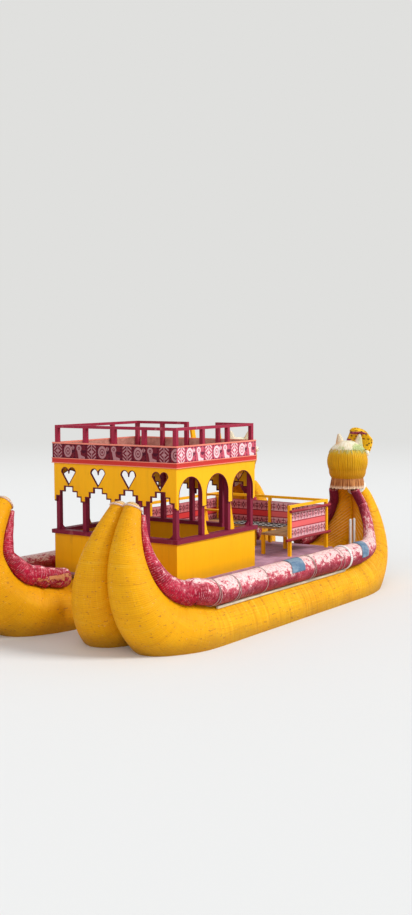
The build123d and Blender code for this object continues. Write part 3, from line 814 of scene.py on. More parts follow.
def deck_finish():
    """Worn pinkish paint on deck boards, scuffed along the walkway."""
    colours = settings("colours")
    finish = Finish("worn_deck_paint", specular=0.3)
    place = finish.place()
    grain = finish.noise(finish.scaled(place, 1.0, 15.0, 15.0), 1.0, 5.0, 0.7)
    broad = finish.noise(place, 2.4, 5.0, 0.65)
    colour = finish.mix(broad.rise(0.4, 0.6), shaded(colours.deck, 1.2),
                        shaded(colours.deck, (0.86, 0.80, 0.86)))
    colour = finish.mix((grain * 0.7 + broad).rise(0.9, 1.05) * 0.7, colour, seen(190, 146, 132))
    return finish.done(colour, grain, 0.002, grain * 0.2 + 0.6)


def rope_finish(name, colour):
    """Laid rope: pale strands with dirt between them."""
    finish = Finish(name, roughness=0.85, specular=0.2)
    along, around = finish.run()
    strand = (along / 0.04 + around * 3).fract()
    fibre = finish.noise(finish.place(), 90.0, 3.0)
    lay = abs(strand - 0.5).rise(0.25, 0.5)
    colour = finish.mix(lay * 0.6 + fibre * 0.2, colour, shaded(colour, 0.35))
    return finish.done(colour, lay.invert() + fibre * 0.4, 0.003)


def tarpaulin_finish():
    """Coarse woven sheet in a faded blue-grey, creased and dusty."""
    finish = Finish("faded_tarpaulin", roughness=0.6, specular=0.35)
    along, around = finish.run()
    weave = along.wave(0.006).both(around.wave(0.006))
    crease = finish.noise(finish.scaled(finish.place(), 3, 8, 8), 1.0, 4.0, 0.6)
    colour = finish.mix(crease.rise(0.4, 0.65), settings("colours").tarpaulin, seen(128, 150, 168))
    colour = finish.mix(weave * 0.15, colour, seen(60, 80, 96))
    return finish.done(colour, crease + weave * 0.06, 0.012)


def woven_finish(name, ground, motif, accent, stripe):
    """Woven cloth with a plain stripe between two rows of small figures, stepped kites and half
    discs under a cross in turn. A kite is where the distance sideways plus a stepped distance
    upwards is small; a half disc is the lower half of an even distance from its middle."""
    finish = Finish(name, roughness=0.85, specular=0.1)
    along, height = finish.run()
    pitch, tall = 0.115, 0.54
    across = along.cell(pitch)
    even = ((along / pitch).floor() * 0.5).fract().above(0.25)
    figures, marks = [], []
    for middle in (0.79, 0.20):
        up = (height - middle) * tall
        stepped = (abs(up) / 0.018).floor() * 0.018
        kite = (abs(across) + stepped * 0.55).below(0.040) \
            * (abs(across) + abs(up) * 0.4).above(0.012)
        disc = (across ** 2.0 + up ** 2.0).below(0.0016) * up.below(0.0)
        cross = (abs(across).below(0.009) * abs(up).below(0.082)).either(
            abs(up - 0.040).below(0.012) * abs(across).below(0.036))
        figures.append(chosen(even, kite, disc.either(cross)))
        marks.append(abs(across).above(pitch / 2 - 0.012) * abs(up).below(0.05))
    edge = abs(height - 0.5)
    fade = finish.noise(finish.place(), 7.0, 4.0, 0.6)
    weave = along.wave(0.012) * (height * tall).wave(0.012)
    colour = finish.layered(
        ground,
        (fade.rise(0.35, 0.7) * 0.5, shaded(ground, (0.84, 0.62, 0.66))),
        (marks[0].either(marks[1]) * 0.8, accent),
        (figures[0].either(figures[1]) * 0.85, motif),
        (edge.below(0.10), stripe),
        (abs(edge - 0.115).below(0.018), shaded(accent, 0.8)),
        (edge.above(0.475) * 0.8, accent),
        (weave * 0.2, shaded(motif, 1.4)))
    return finish.done(colour, weave, 0.0015)


def scroll_finish(name, ground, motif, shadow):
    """Woven band with figures in threes, each in a third of the repeat: rows of chevrons about
    an upright, two rings with a wing, and a ring on a leaning foot. A chevron is where height
    plus the distance sideways is an even step, a ring is an even distance from its middle.
    Behind the figures are darker half discs and marks along both edges. The side towards the
    cabin is bare board."""
    finish = Finish(name, roughness=0.85, specular=0.1)
    along, height = finish.run()
    pitch, tall = 0.264, 0.252
    across = along.cell(pitch)
    up = (height - 0.5) * tall
    kind = ((along / pitch).floor() / 3.0).fract()
    side = abs(across)
    chevron = abs((abs(up) + side * 0.8).cell(0.062)).below(0.014) * side.below(0.095) \
        * side.above(0.022)
    first = chevron.either(side.below(0.010)).either((side + abs(up)).below(0.040))
    distance = ((across + 0.025) ** 2.0 + (up * 0.85) ** 2.0) ** 0.5
    rings = abs(distance - 0.074).below(0.018).either(abs(distance - 0.030).below(0.012))
    wing = (abs(up - 0.062) * 0.8 + abs(across - 0.092)).below(0.040) \
        * abs(across - 0.092).above(0.007)
    second = rings.either(wing)
    upper = ((across + 0.03) ** 2.0 + (up - 0.055) ** 2.0) ** 0.5
    body = abs(across + 0.03 + up * 0.2).below(0.034) * up.below(0.03)
    foot = abs(up + 0.085 + across * 0.3).below(0.024) * (across + 0.03).above(0.0) \
        * across.below(0.105)
    third = abs(upper - 0.042).below(0.016).either(body).either(foot).either(upper.below(0.012))
    figure = chosen(kind.below(0.2), first, chosen(kind.below(0.5), second, third))
    discs = ((across - 0.078) ** 2.0 + (up - 0.022) ** 2.0).below(0.0030) * up.below(0.024) \
        * kind.above(0.2)
    marks = abs(abs(up) - 0.112).below(0.010) * abs(across.cell(0.088)).below(0.026)
    marks = marks.either(side.above(pitch / 2 - 0.012) * height.cell(0.2).above(-0.05))
    fade = finish.noise(finish.place(), 11.0, 4.0, 0.65)
    weave = along.wave(0.012) * up.wave(0.012)
    x, y, _ = finish.split(finish.place())
    toward_x, toward_y, _ = finish.facing()
    inner = ((x - (WALL_LOW[0] + WALL_HIGH[0]) / 2) * toward_x + y * toward_y).below(-0.1)
    pale = finish.mix(fade.rise(0.4, 0.7) * 0.45, motif, shaded(motif, (0.84, 0.72, 0.76)))
    board = finish.mix(fade.rise(0.3, 0.7), seen(206, 146, 130), seen(176, 112, 100))
    colour = finish.layered(
        ground,
        (fade.rise(0.35, 0.7) * 0.5, shaded(ground, (0.78, 0.6, 0.66))),
        (discs.either(marks) * 0.85, shadow),
        (figure * 0.9, pale),
        (weave * 0.2, shaded(ground, 0.5)),
        (inner, board))
    return finish.done(colour, weave, 0.0015)


def cover_finish():
    """Black and white woven seat cover: stripes across it, broken into short blocks."""
    finish = Finish("black_white_weave", roughness=0.9, specular=0.1)
    place = finish.place()
    x, y, _ = finish.split(place)
    stripe = abs(x.cell(0.21))
    block = (y / 0.13 + (x / 0.21).floor() * 0.5).fract()
    pale = stripe.below(0.016) + abs(stripe - 0.055).below(0.020) * abs(block - 0.5).below(0.2)
    fine = finish.noise(place, 60.0, 3.0)
    colour = finish.mix(pale * 0.85, seen(24, 20, 22), seen(214, 208, 202))
    colour = finish.mix(fine.rise(0.45, 0.7) * 0.25, colour, seen(96, 84, 82))
    return finish.done(colour, y.wave(0.014) + fine, 0.002)


# ---------------------------------------------------------------- hulls

# Stations of the hulls from stern tip to bow tip, the same as the solids', starboard and port.
# Columns: forward place, height, heading in degrees, bundle radius, roll radius, and how far
# round the bundle the roll lies, in degrees up from level.
BOW_TIP = (
    (3.730, 0.710, 55, 0.424, 0.125, 64),
    (3.870, 1.010, 73, 0.362, 0.113, 64),
    (3.925, 1.340, 90, 0.292, 0.106, 64),
    (3.865, 1.680, 108, 0.224, 0.101, 64),
    (3.600, 2.050, 127, 0.150, 0.095, 64),
)
STATIONS = {-1: (
    (-3.694, 2.173, -121, 0.150, 0.042, 50),
    (-3.895, 1.785, -111, 0.226, 0.074, 52),
    (-4.000, 1.390, -95, 0.308, 0.116, 54),
    (-3.970, 0.985, -76, 0.388, 0.156, 56),
    (-3.810, 0.640, -55, 0.460, 0.187, 58),
    (-3.540, 0.378, -34, 0.532, 0.206, 60),
    (-3.230, 0.245, -21, 0.583, 0.215, 62),
    (-2.900, 0.148, -12, 0.602, 0.219, 63),
    (-2.600, 0.100, 0, 0.600, 0.220, 64),
    (2.100, 0.100, 0, 0.600, 0.220, 64),
    (2.600, 0.145, 9, 0.582, 0.203, 64),
    (3.000, 0.230, 17, 0.548, 0.182, 64),
    (3.400, 0.392, 31, 0.488, 0.152, 64),
) + BOW_TIP, 1: (
    (-3.753, 2.117, -140, 0.150, 0.036, 52),
    (-3.940, 1.960, -136, 0.195, 0.064, 54),
    (-4.179, 1.691, -124, 0.250, 0.094, 56),
    (-4.356, 1.333, -99, 0.320, 0.118, 58),
    (-4.297, 0.916, -70, 0.390, 0.160, 60),
    (-4.083, 0.582, -46, 0.460, 0.171, 62),
    (-3.800, 0.382, -36, 0.525, 0.174, 65),
    (-3.420, 0.228, -21, 0.577, 0.173, 67),
    (-3.000, 0.140, -10, 0.602, 0.171, 68),
    (-2.600, 0.100, 0, 0.600, 0.172, 68),
    (2.100, 0.100, 0, 0.600, 0.172, 68),
    (2.600, 0.145, 9, 0.582, 0.170, 67),
    (3.000, 0.230, 17, 0.548, 0.164, 66),
    (3.400, 0.392, 31, 0.488, 0.148, 65),
) + BOW_TIP}
FULL_BUNDLE, FULL_ROLL = 0.600, 0.220
NECK_TOP = 1.96
# Sections along a hull where a tie, a band or a patch looks for its place
FINE_ROWS = 1400
# Aft of the first, the bundles are drawn in by the second as a share, to the solids' reach
STERN_REACH, DRAWN_IN = -4.30, 0.08
# Where the inner rolls' stern pieces end, and how far off the platform their bow pieces start
STERN_PIECE_END, BOW_PIECE_GAP = -3.06, 0.085
# How far up a stern tip's dome the thin end of a roll lies, in radians
RIM_ANGLE = 0.38


def stationed(stations, rows):
    """Sections along a line in an upright plane, evenly spaced by length. Between two stations
    each value is a cubic: place and height leave a station along its heading, the rest with the
    slope between its neighbours, or level at a value's highest and lowest. Gives length, places
    (forward, up), headings as vectors, and the columns after the heading."""
    stations = np.asarray(stations, float)
    heading = np.radians(stations[:, 2])
    chord = np.linalg.norm(np.diff(stations[:, :2], axis=0), axis=1)
    half = np.maximum(np.abs(np.diff(heading)) / 2, 1e-4)
    length = np.concatenate([[0], np.cumsum(chord * half / np.sin(half))])
    values = np.column_stack([stations[:, :2], stations[:, 3:]])
    slopes = np.gradient(values, length, axis=0)
    steps = np.diff(values, axis=0)
    slopes[1:-1][steps[1:] * steps[:-1] <= 0] = 0
    slopes[:, 0], slopes[:, 1] = np.cos(heading), np.sin(heading)
    run = np.linspace(0, length[-1], rows)
    k = np.clip(np.searchsorted(length, run, "right") - 1, 0, len(length) - 2)
    span = (length[k + 1] - length[k])[:, None]
    t = ((run - length[k])[:, None]) / span
    result = ((2 * t**3 - 3 * t**2 + 1) * values[k] + (t**3 - 2 * t**2 + t) * span * slopes[k]
              + (3 * t**2 - 2 * t**3) * values[k + 1] + (t**3 - t**2) * span * slopes[k + 1])
    ahead = unit(np.gradient(result[:, :2], run, axis=0))
    return run, result[:, :2], ahead, result[:, 2:]


def bundle_centres(side, out, rows):
    """Centres of a bundle's sections and their upward directions."""
    hull = settings("hull")
    run, centre, ahead, values = stationed(STATIONS[side], rows)
    radius, roll, lean = values[:, 0], values[:, 1], np.radians(values[:, 2])
    y = side * hull.spacing / 2 + out * (radius - hull.flat * radius / FULL_BUNDLE)
    points = np.column_stack([centre[:, 0], y, centre[:, 1]])
    up = np.column_stack([-ahead[:, 1], np.zeros(rows), ahead[:, 0]])
    return run, points, up, radius, roll, lean


def roll_centres(side, out, rows):
    """Centres of a gunwale roll, bedded in the shoulder of its bundle."""
    run, points, up, radius, roll, lean = bundle_centres(side, out, rows)
    reach = radius + roll - settings("hull").bedding * roll / FULL_ROLL
    sideways = np.array([0.0, out, 0.0])
    centres = points + (reach * np.cos(lean))[:, None] * sideways \
        + (reach * np.sin(lean))[:, None] * up
    return run, centres, roll


def wound(run, angle, pitch, depth):
    """Depth below the surface at a helical groove: nothing on the crown of a cord's turn,
    depth midway to the next."""
    phase = run[:, None] / pitch + angle[None] / (2 * np.pi)
    return depth * (0.5 - 0.5 * np.cos(2 * np.pi * phase)) ** 1.5


def cut_at_neck(grid):
    """Cuts a grid level where the neck starts, forward of midships."""
    grid[..., 2] = np.minimum(grid[..., 2], np.where(grid[..., 0] > 0, NECK_TOP, np.inf))


def bundle_patch(side, out, seed):
    """One bundle: centre plus radius times cosine sideways plus sine upwards, where the radius
    has the cord's helical groove and low lumps. The middle plane of the hull cuts it flat, and
    the stern tip ends in a dome with a slightly raised cap of bare straw."""
    hull = settings("hull")
    run, points, up, radius, _, _ = bundle_centres(side, out, hull.rows)
    angle = full_turn(hull.sides)
    lumps = hull.unevenness * (waves(run[:, None], angle[None], seed) - 1) / 2
    girth = radius[:, None] * (1 + lumps / FULL_BUNDLE) \
        - wound(run, angle, hull.winding, hull.winding_depth)
    body = circled(points, girth, angle, LEVEL, up)
    dome = np.linspace(1.45, 0.08, 16)
    back = unit(points[0] - points[1])
    cap = 0.006 * (dome > 0.68)
    dome_radius = (girth[0][None] + cap[:, None]) * np.cos(dome)[:, None]
    lift = (radius[0] + cap) * np.sin(dome)
    tip = circled(points[0] + lift[:, None] * back, dome_radius, angle, LEVEL, up[0])
    grid = np.concatenate([tip, body])
    middle = side * hull.spacing / 2
    grid[..., 1] = middle + out * np.maximum(out * (grid[..., 1] - middle), 0.0015)
    cut_at_neck(grid)
    grid[..., 0] += DRAWN_IN * np.maximum(STERN_REACH - grid[..., 0], 0)
    along = np.concatenate([-radius[0] * dome, run, run[-1:]])
    bare = np.concatenate([np.clip((dome - 0.55) / 0.2, 0, 1), np.zeros(len(run))])
    return surface(grid, along, np.linspace(0, 1, len(angle) + 1), loop_columns=True,
                   capped=True, bare=bare)


def roll_patch(side, out, seed, low=-9.0, high=9.0):
    """One gunwale roll, or the stretch of it between two forward places. It is wound and lumpy
    as a bundle is; a cut end is a blunt dome, its radius the root of a cosine, in bare straw."""
    hull = settings("hull")
    run, centres, radius = roll_centres(side, out, 2 * hull.rows)
    keep = (centres[:, 0] > low) & (centres[:, 0] < high)
    run, centres, radius = run[keep][::2], centres[keep][::2], radius[keep][::2]
    angle = full_turn(36)
    tangent = unit(np.gradient(centres, run, axis=0))
    lumps = hull.unevenness * (waves(run[:, None], angle[None], seed, u_scale=9.0) - 1) / 2
    girth = radius[:, None] * (1 + lumps / FULL_ROLL) \
        - wound(run, angle, hull.winding * 0.8, hull.winding_depth * 0.8)
    ends = []
    for row, away in ((0, -1), (-1, 1)):
        dome = np.linspace(0.12, 1.5, 9)[::away]
        centre = centres[row] + away * (0.35 * radius[row] * np.sin(dome))[:, None] * tangent[row]
        ends.append((centre, girth[row][None] * np.sqrt(np.cos(dome))[:, None], dome))
    path = np.concatenate([ends[0][0], centres, ends[1][0]])
    girth = np.concatenate([ends[0][1], girth, ends[1][1]])
    tangent = np.concatenate([np.repeat(tangent[:1], 9, 0), tangent, np.repeat(tangent[-1:], 9, 0)])
    across = unit(LEVEL - tangent * tangent[:, 1:2])
    grid = circled(path, girth, angle, across, np.cross(tangent, across))
    cut_at_neck(grid)
    along = np.concatenate([run[0] - 0.05 * ends[0][2], run, run[-1] + 0.05 * ends[1][2],
                            run[-1:]])
    bare = np.concatenate([np.clip((ends[0][2] - 0.5) / 0.3, 0, 1), np.zeros(len(run)),
                           np.clip((ends[1][2] - 0.5) / 0.3, 0, 1)])
    return surface(grid, along, np.linspace(0, 1, len(angle) + 1), loop_columns=True,
                   capped=True, bare=bare)


def roll_ring(x, tilt=0.0, gap=0.0):
    """Centre line of a tie round the starboard outer roll at a forward place: a circle about
    the roll, its plane tilted so that the top leads by tilt."""
    _, centres, radius = roll_centres(-1, -1, FINE_ROWS)
    near = int(np.argmin(np.abs(centres[:, 0] - x)))
    size = radius[near] + gap
    angle = full_turn(40)
    return centres[near] + np.column_stack([tilt * np.sin(angle), size * np.cos(angle),
                                            size * np.sin(angle)])


def tip_ring(side, out):
    """Centre line of the thin end of a roll, laid round the stern tip of its bundle: a circle
    a little way up the dome, cut flat at the hull's middle plane."""
    hull = settings("hull")
    _, points, up, radius, _, _ = bundle_centres(side, out, hull.rows)
    back = unit(points[0] - points[1])
    ring = circle(points[0] + radius[0] * math.sin(RIM_ANGLE) * back,
                  radius[0] * math.cos(RIM_ANGLE) + 0.008, up[0], 72)
    middle = side * hull.spacing / 2
    ring[:, 1] = middle + out * np.maximum(out * (ring[:, 1] - middle), 0.017)
    return ring


class BundlesOperator(bpy.types.Operator):
    """Four tied reed bundles, two to each hull."""

    bl_idname = "reed_boat.bundles"
    bl_label = "Reed bundles"

    def execute(self, context):
        finish = yellow_reed_finish()
        for number, (name, side, lobe, out) in enumerate(LOBES):
            patch = bundle_patch(side, out, seed=20 + number)
            make_piece(f"reeds_{name}_{lobe}", [(finish, [patch])],
                       [f"bundle_{name}_{lobe}"])
        return {"FINISHED"}


class RollsOperator(bpy.types.Operator):
    """Gunwale rolls: the outer ones whole, the inner ones left out along the platform."""

    bl_idname = "reed_boat.rolls"
    bl_label = "Gunwale rolls"

    def execute(self, context):
        finish = red_reed_finish()
        for number, (name, side, lobe, out) in enumerate(LOBES):
            if lobe == "outer":
                patches = [roll_patch(side, out, 50 + number)]
            else:
                platform = box("fore_deck")[1][0]
                patches = [roll_patch(side, out, 60 + number, high=STERN_PIECE_END),
                           roll_patch(side, out, 70 + number, low=platform + BOW_PIECE_GAP)]
            make_piece(f"gunwale_{name}_{lobe}", [(finish, patches)],
                       [f"roll_{name}_{lobe}"])
        return {"FINISHED"}


class TiesOperator(bpy.types.Operator):
    """Rope ties and tarpaulin patches round the starboard roll."""

    bl_idname = "reed_boat.ties"
    bl_label = "Ties and patches"

    def execute(self, context):
        hull = settings("hull")
        thin, thick = [], []
        for x, tilt, scale, ties in (
                (-2.78, 0.02, 0.6, thin), (-2.72, -0.03, 0.6, thin), (-2.2, 0.03, 0.6, thin),
                (-2.15, -0.02, 0.6, thin), (-1.33, 0.03, 0.6, thin), (0.24, 0.02, 0.6, thin),
                (0.29, -0.02, 0.6, thin), (1.22, 0.03, 0.5, thin), (1.36, -0.03, 0.5, thin),
                (1.60, 0.0, 1.2, thick), (1.622, 0.01, 1.2, thick), (1.644, 0.0, 1.2, thick)):
            ring = roll_ring(x, tilt, hull.rope * scale * 0.5)
            ties.append(tube(ring, hull.rope * scale, (1, 0, 0), sides=10, closed=True))
        make_piece("roll_ties", [(rope_finish("thin_rope", seen(206, 180, 172)), thin),
                                 (rope_finish("pale_rope", seen(250, 248, 244)), thick)])
        rims = [[tube(tip_ring(side, out), size, (0, 1, 0.01), sides=12, closed=True)
                 for _, side, _, out in LOBES if (side > 0 and out > 0) == port_outer]
                for port_outer, size in ((False, 0.016), (True, 0.028))]
        make_piece("tip_rims", [(rope_finish("rim_rope", seen(236, 204, 186)), rims[0]),
                                (rope_finish("red_rim_rope", seen(206, 104, 104)), rims[1])])
        finish = tarpaulin_finish()
        for number, (x, slant, length, low, high) in enumerate((
                (-0.34, 0.10, 0.43, 0.12, 1.80), (2.22, 0.08, 0.32, -0.20, 1.85))):
            _, centres, radius = roll_centres(-1, -1, FINE_ROWS)
            turn = np.linspace(low, high, 40)
            share = np.linspace(-0.5, 0.5, 26)
            place = x + slant * np.sin(turn)[None] + (length * share)[:, None] \
                + 0.008 * np.sin(5 * turn)[None] * np.sign(share)[:, None]
            centre = np.stack([np.interp(place, centres[:, 0], centres[:, k]) for k in range(3)],
                              -1)
            size = np.interp(place, centres[:, 0], radius) + 0.006 \
                + 0.003 * waves(share[:, None] * 9, turn[None] * 2, 90 + number)
            points = centre + size[..., None] * np.stack(
                [np.zeros_like(place), -np.cos(np.broadcast_to(turn, place.shape)),
                 np.sin(np.broadcast_to(turn, place.shape))], -1)
            patch = surface(points, share * length, np.append(turn * 0.22, turn[-1] * 0.22))
            piece = make_piece(f"tarpaulin_{number + 1}", [(finish, [patch])])
            thicken(piece, 0.003, 1.0)
        return {"FINISHED"}


# ---------------------------------------------------------------- heads

HEAD_FORWARD = float(HEAD_LOW[0] + HEAD_HIGH[0]) / 2
HEAD_RADIUS = float(HEAD_HIGH[0] - HEAD_LOW[0]) / 2
HEAD_CENTRE = 2.5
NECK_SECTIONS = ((1.955, 0.352), (2.13, 0.315))
BANDS, BAND_LOW, BAND_STEP, BAND_RADIUS = 4, 1.950, 0.018, 0.014
SHOULDER, SHOULDER_RADIUS = 2.33, 0.389
EYE_FORWARD, EYE_ASIDE, EYE_HEIGHT, EYE_RADIUS = 0.285, 0.30, 2.66, 0.062


def straws(roots, tips, lift, radius, bulge=0.25):
    """Thin tapered strands from roots to tips, each bent outwards by lift. Centre line: a
    straight run plus lift times a parabola; section: a triangle that narrows to the tip."""
    t = np.linspace(0, 1, 5)[None, :, None]
    path = roots[:, None] * (1 - t) + tips[:, None] * t + lift[:, None] * 4 * bulge * t * (1 - t)
    tangent = unit(np.gradient(path, axis=1))
    side = unit(np.cross(tangent, lift[:, None] + 1e-6))
    rise = np.cross(side, tangent)
    angle = np.array([0.5, 2.6, 4.7])
    size = (radius[:, None] * (1.0 - 0.8 * t[..., 0] ** 2))[:, :, None, None]
    points = path[:, :, None] + size * (np.cos(angle)[None, None, :, None] * side[:, :, None]
                                        + np.sin(angle)[None, None, :, None] * rise[:, :, None])
    return repeated(points, along=np.linspace(0, 1, 6) * 0.2, around=np.linspace(0, 1, 4),
                    loop_columns=True, capped=True, bare=np.linspace(0.2, 1, 5))


def neck_patches(y, seed):
    """Straw skirt over the ends of the bundles: a cone in pleats, its radius the straight line
    between two heights plus a cosine of the angle that grows downwards, and a fringe."""
    head = settings("head")
    draw = np.random.default_rng(seed)
    (low, wide), (high, narrow) = NECK_SECTIONS
    share = np.linspace(0, 1, 16)[:, None]
    angle = full_turn(144)[None]
    ragged = 0.018 * waves(angle * 0, angle * 7, seed, v_scale=5) + 0.008 * np.sin(23 * angle)
    height = high + 0.05 - (high + 0.05 - low - ragged) * share
    girth = narrow + 0.008 + (wide - narrow) * share + (0.004 + 0.010 * share) \
        * (np.abs(np.sin(24 * angle + 2 * np.sin(3 * angle))) - 0.5)
    inner_height = np.array([[low + 0.05], [low + 0.08]]) + 0 * angle
    height = np.concatenate([height, inner_height])
    girth = np.concatenate([girth, girth[-1:] - 0.05, girth[-1:] * 0.4])
    skirt = np.stack([HEAD_FORWARD + girth * np.cos(angle), y + girth * np.sin(angle), height], -1)
    run = np.concatenate([share.ravel() * 0.25, [0.27, 0.3, 0.3]])
    patches = [surface(skirt, run, np.linspace(0, 1, 145), loop_columns=True, capped=True)]
    count = head.fringe
    turn = (np.arange(count) + draw.uniform(-0.4, 0.4, count)) * 2 * np.pi / count
    away = np.stack([np.cos(turn), np.sin(turn), np.zeros(count)], 1)
    centre = np.array([HEAD_FORWARD, y, 0.0])
    top = centre + away * (wide - 0.012) + np.array([0, 0, low + 0.05])
    reach = draw.uniform(-0.01, 0.03, count)
    tips = centre + away * (wide + draw.uniform(-0.015, 0.006, count)[:, None])
    tips[:, 2] = low - reach
    patches.append(straws(top, tips, away * 0.02, draw.uniform(0.006, 0.011, count)))
    return patches


def head_patch(y, seed):
    """The ball of reeds: a sphere down to its shoulder and a cone to the neck, swollen by a
    sine, turned about the upright axis, with a groove between reeds wherever the sine of the
    angle times half the number of ribs is nought."""
    head = settings("head")
    polar = np.linspace(0.05, math.acos((SHOULDER - HEAD_CENTRE) / HEAD_RADIUS), 56)
    cone = np.linspace(0, 1, 14)[1:]
    radius = np.concatenate([HEAD_RADIUS * np.sin(polar),
                             SHOULDER_RADIUS - 0.074 * cone
                             + 0.024 * np.sin(np.pi * cone ** 1.2)])
    height = np.concatenate([HEAD_CENTRE + HEAD_RADIUS * np.cos(polar),
                             np.linspace(SHOULDER, NECK_SECTIONS[1][0], 14)[1:]])
    angle = full_turn(8 * head.ribs)
    wander = 0.35 * waves(height[:, None] * 3, angle[None], seed)
    rib = 1 - np.abs(np.sin(head.ribs / 2 * angle[None] + wander))
    lumps = 0.010 * (waves(height[:, None] * 5, angle[None] * 2, seed + 1) - 1) / 2
    girth = radius[:, None] - head.rib_depth * rib ** 2 * np.minimum(1, radius[:, None] / 0.2) \
        + lumps
    points = np.stack([HEAD_FORWARD + girth * np.cos(angle), y + girth * np.sin(angle),
                       np.broadcast_to(height[:, None], girth.shape)], -1)
    run = np.concatenate([[0], np.cumsum(np.hypot(np.diff(radius), np.diff(height))), [0]])
    return surface(points, run, np.linspace(0, 1, len(angle) + 1), loop_columns=True, capped=True)


def crown_patches(y, seed):
    """Cream straw cap over the top of the ball, thicker towards its middle, with a tuft of
    straws laid down over its edge."""
    head = settings("head")
    draw = np.random.default_rng(seed)
    angle = full_turn(160)
    edge = 0.91 + 0.05 * waves(angle * 0, angle * 5, seed, v_scale=4) \
        + 0.13 * np.exp(-((np.angle(np.exp(1j * (angle + 0.75)))) / 0.5) ** 2)
    share = np.linspace(0.03, 1, 20)[:, None]
    polar = edge[None] * share
    thick = HEAD_RADIUS + 0.002 + 0.010 * (1 - share ** 2) \
        + 0.004 * np.abs(np.sin(40 * angle[None])) * share
    polar = np.concatenate([polar, polar[-1:] + 0.005, polar[-1:] * 0.6])
    thick = np.concatenate([thick, thick[-1:] - 0.03, thick[-1:] - 0.10])
    centre = np.array([HEAD_FORWARD, y, HEAD_CENTRE])
    points = centre + thick[..., None] * np.stack(
        [np.sin(polar) * np.cos(angle), np.sin(polar) * np.sin(angle), np.cos(polar)], -1)
    points[..., 2] = np.minimum(points[..., 2], HEAD_CENTRE + HEAD_RADIUS)
    bare = np.concatenate([share.ravel() ** 3, [1, 1]])
    cap = surface(points, np.append(bare * 0.4, 0.4), np.linspace(0, 1, 161), loop_columns=True,
                  capped=True, bare=bare * 0.6)
    count = head.tuft
    turn = draw.uniform(0, 2 * np.pi, count)
    start = draw.uniform(0.62, 0.82, count)
    stop = draw.uniform(0.98, 1.20, count)
    skew = turn + draw.uniform(-0.08, 0.08, count)

    def on_ball(polar_angle, azimuth, out):
        return centre + (HEAD_RADIUS + out) * np.stack(
            [np.sin(polar_angle) * np.cos(azimuth), np.sin(polar_angle) * np.sin(azimuth),
             np.cos(polar_angle)], 1)

    roots, tips = on_ball(start, turn, 0.006), on_ball(stop, skew, 0.004)
    lift = (on_ball((start + stop) / 2, turn, 0.03) - (roots + tips) / 2)
    tuft = straws(roots, tips, lift, draw.uniform(0.004, 0.008, count), bulge=0.22)
    return [cap, tuft]


def ear_patches(y):
    """Two broad ears: a flattened cone on a leaning line, hollowed on its forward face by a
    bell curve."""
    patches = []
    t = np.linspace(0, 1, 18)[:, None]
    angle = full_turn(48)[None]
    for lean in (-1, 1):
        width = 0.125 * (1 - t) ** 0.85 + 0.024 * t ** 0.5
        deep = 0.070 * (1 - t) + 0.018
        hollow = 0.045 * np.exp(-((t - 0.4) / 0.3) ** 2) * np.exp(
            -((np.angle(np.exp(1j * (angle - math.pi / 2)))) / 0.7) ** 2)
        side = y + lean * (0.185 + 0.055 * t) + width * np.cos(angle)
        x = HEAD_FORWARD + 0.07 + (deep - hollow) * np.sin(angle)
        z = 2.79 + 0.27 * t - 0.16 * (np.abs(width * np.cos(angle)) * (1 - t)) + 0 * angle
        points = np.stack([x, side, np.minimum(z, 3.075)], -1)
        patches.append(surface(points, np.append(t.ravel() * 0.3, 0.3), np.linspace(0, 1, 49),
                               loop_columns=True, capped=True))
    return patches


# Stations of the jaws in the middle plane of a head, the same as the solids'. Columns: forward
# of the neck, height over the head's middle, heading in degrees, half width, half thickness.
UPPER_JAW = ((0.290, 0.040, 38, 0.240, 0.150), (0.470, 0.200, 56, 0.300, 0.110),
             (0.560, 0.400, 80, 0.310, 0.085), (0.500, 0.560, 115, 0.220, 0.070),
             (0.370, 0.620, 160, 0.150, 0.060), (0.260, 0.615, 182, 0.100, 0.055))
LOWER_JAW = ((0.290, -0.080, -5, 0.200, 0.150), (0.540, -0.100, 5, 0.180, 0.110),
             (0.720, -0.060, 20, 0.100, 0.060))
CLOSED_JAW = ((0.290, -0.020, 0, 0.230, 0.150), (0.400, -0.020, 0, 0.200, 0.120),
              (0.480, -0.020, 0, 0.140, 0.080))
# For each side: stations, which side of the line is lined, how far the rims bend, the share of
# the length where the lining starts, and a seed
JAWS = {-1: ((UPPER_JAW, 1, 0.12, 0.74, 1.0), (LOWER_JAW, 1, 0.10, 0.30, 2.0)),
        1: ((CLOSED_JAW, 0, 0.0, 0.30, 3.0),)}


def jaw_patch(stations, y, inner, bend, lined_from, seed):
    """A jaw on a curved line in the head's middle plane. Its section is an ellipse whose rims
    are bent to the inner side by the square of the distance across, and the tip closes as a
    quarter round. The inner side and the port rim are lined, which the bare value marks."""
    run, centre, ahead, values = stationed(stations, 90)
    normal = np.column_stack([-ahead[:, 1], ahead[:, 0]])
    angle = full_turn(72)
    close = np.sqrt(np.clip((run[-1] - run + 0.004) / 0.075, 0, 1))
    close = np.sqrt(1 - (1 - close) ** 2)[:, None]
    ribs = 1 - 0.025 * np.abs(np.sin(14 * angle + 0.5 * np.sin(run[:, None] * 9 + seed)))
    wide = values[:, :1] * close
    across = wide * np.cos(angle) * ribs
    over = values[:, 1:2] * close * np.sin(angle) * ribs + inner * bend * wide * (
        np.cos(angle) ** 2 - 0.3)
    x = HEAD_FORWARD + centre[:, :1] + normal[:, :1] * over
    z = HEAD_CENTRE + centre[:, 1:2] + normal[:, 1:2] * over
    grid = np.stack([x, y + across, z], -1)
    share = run[:, None] / run[-1]
    lined = (inner * np.sin(angle) > 0.1) & (share > lined_from)
    rim = (np.cos(angle) > 0.60) & (share > 0.30) & (share < 0.58) & (lined_from > 0.5)
    return surface(grid, np.append(run, run[-1]), np.linspace(0, 1, 73), loop_columns=True,
                   capped=True, bare=(lined | rim).astype(float))


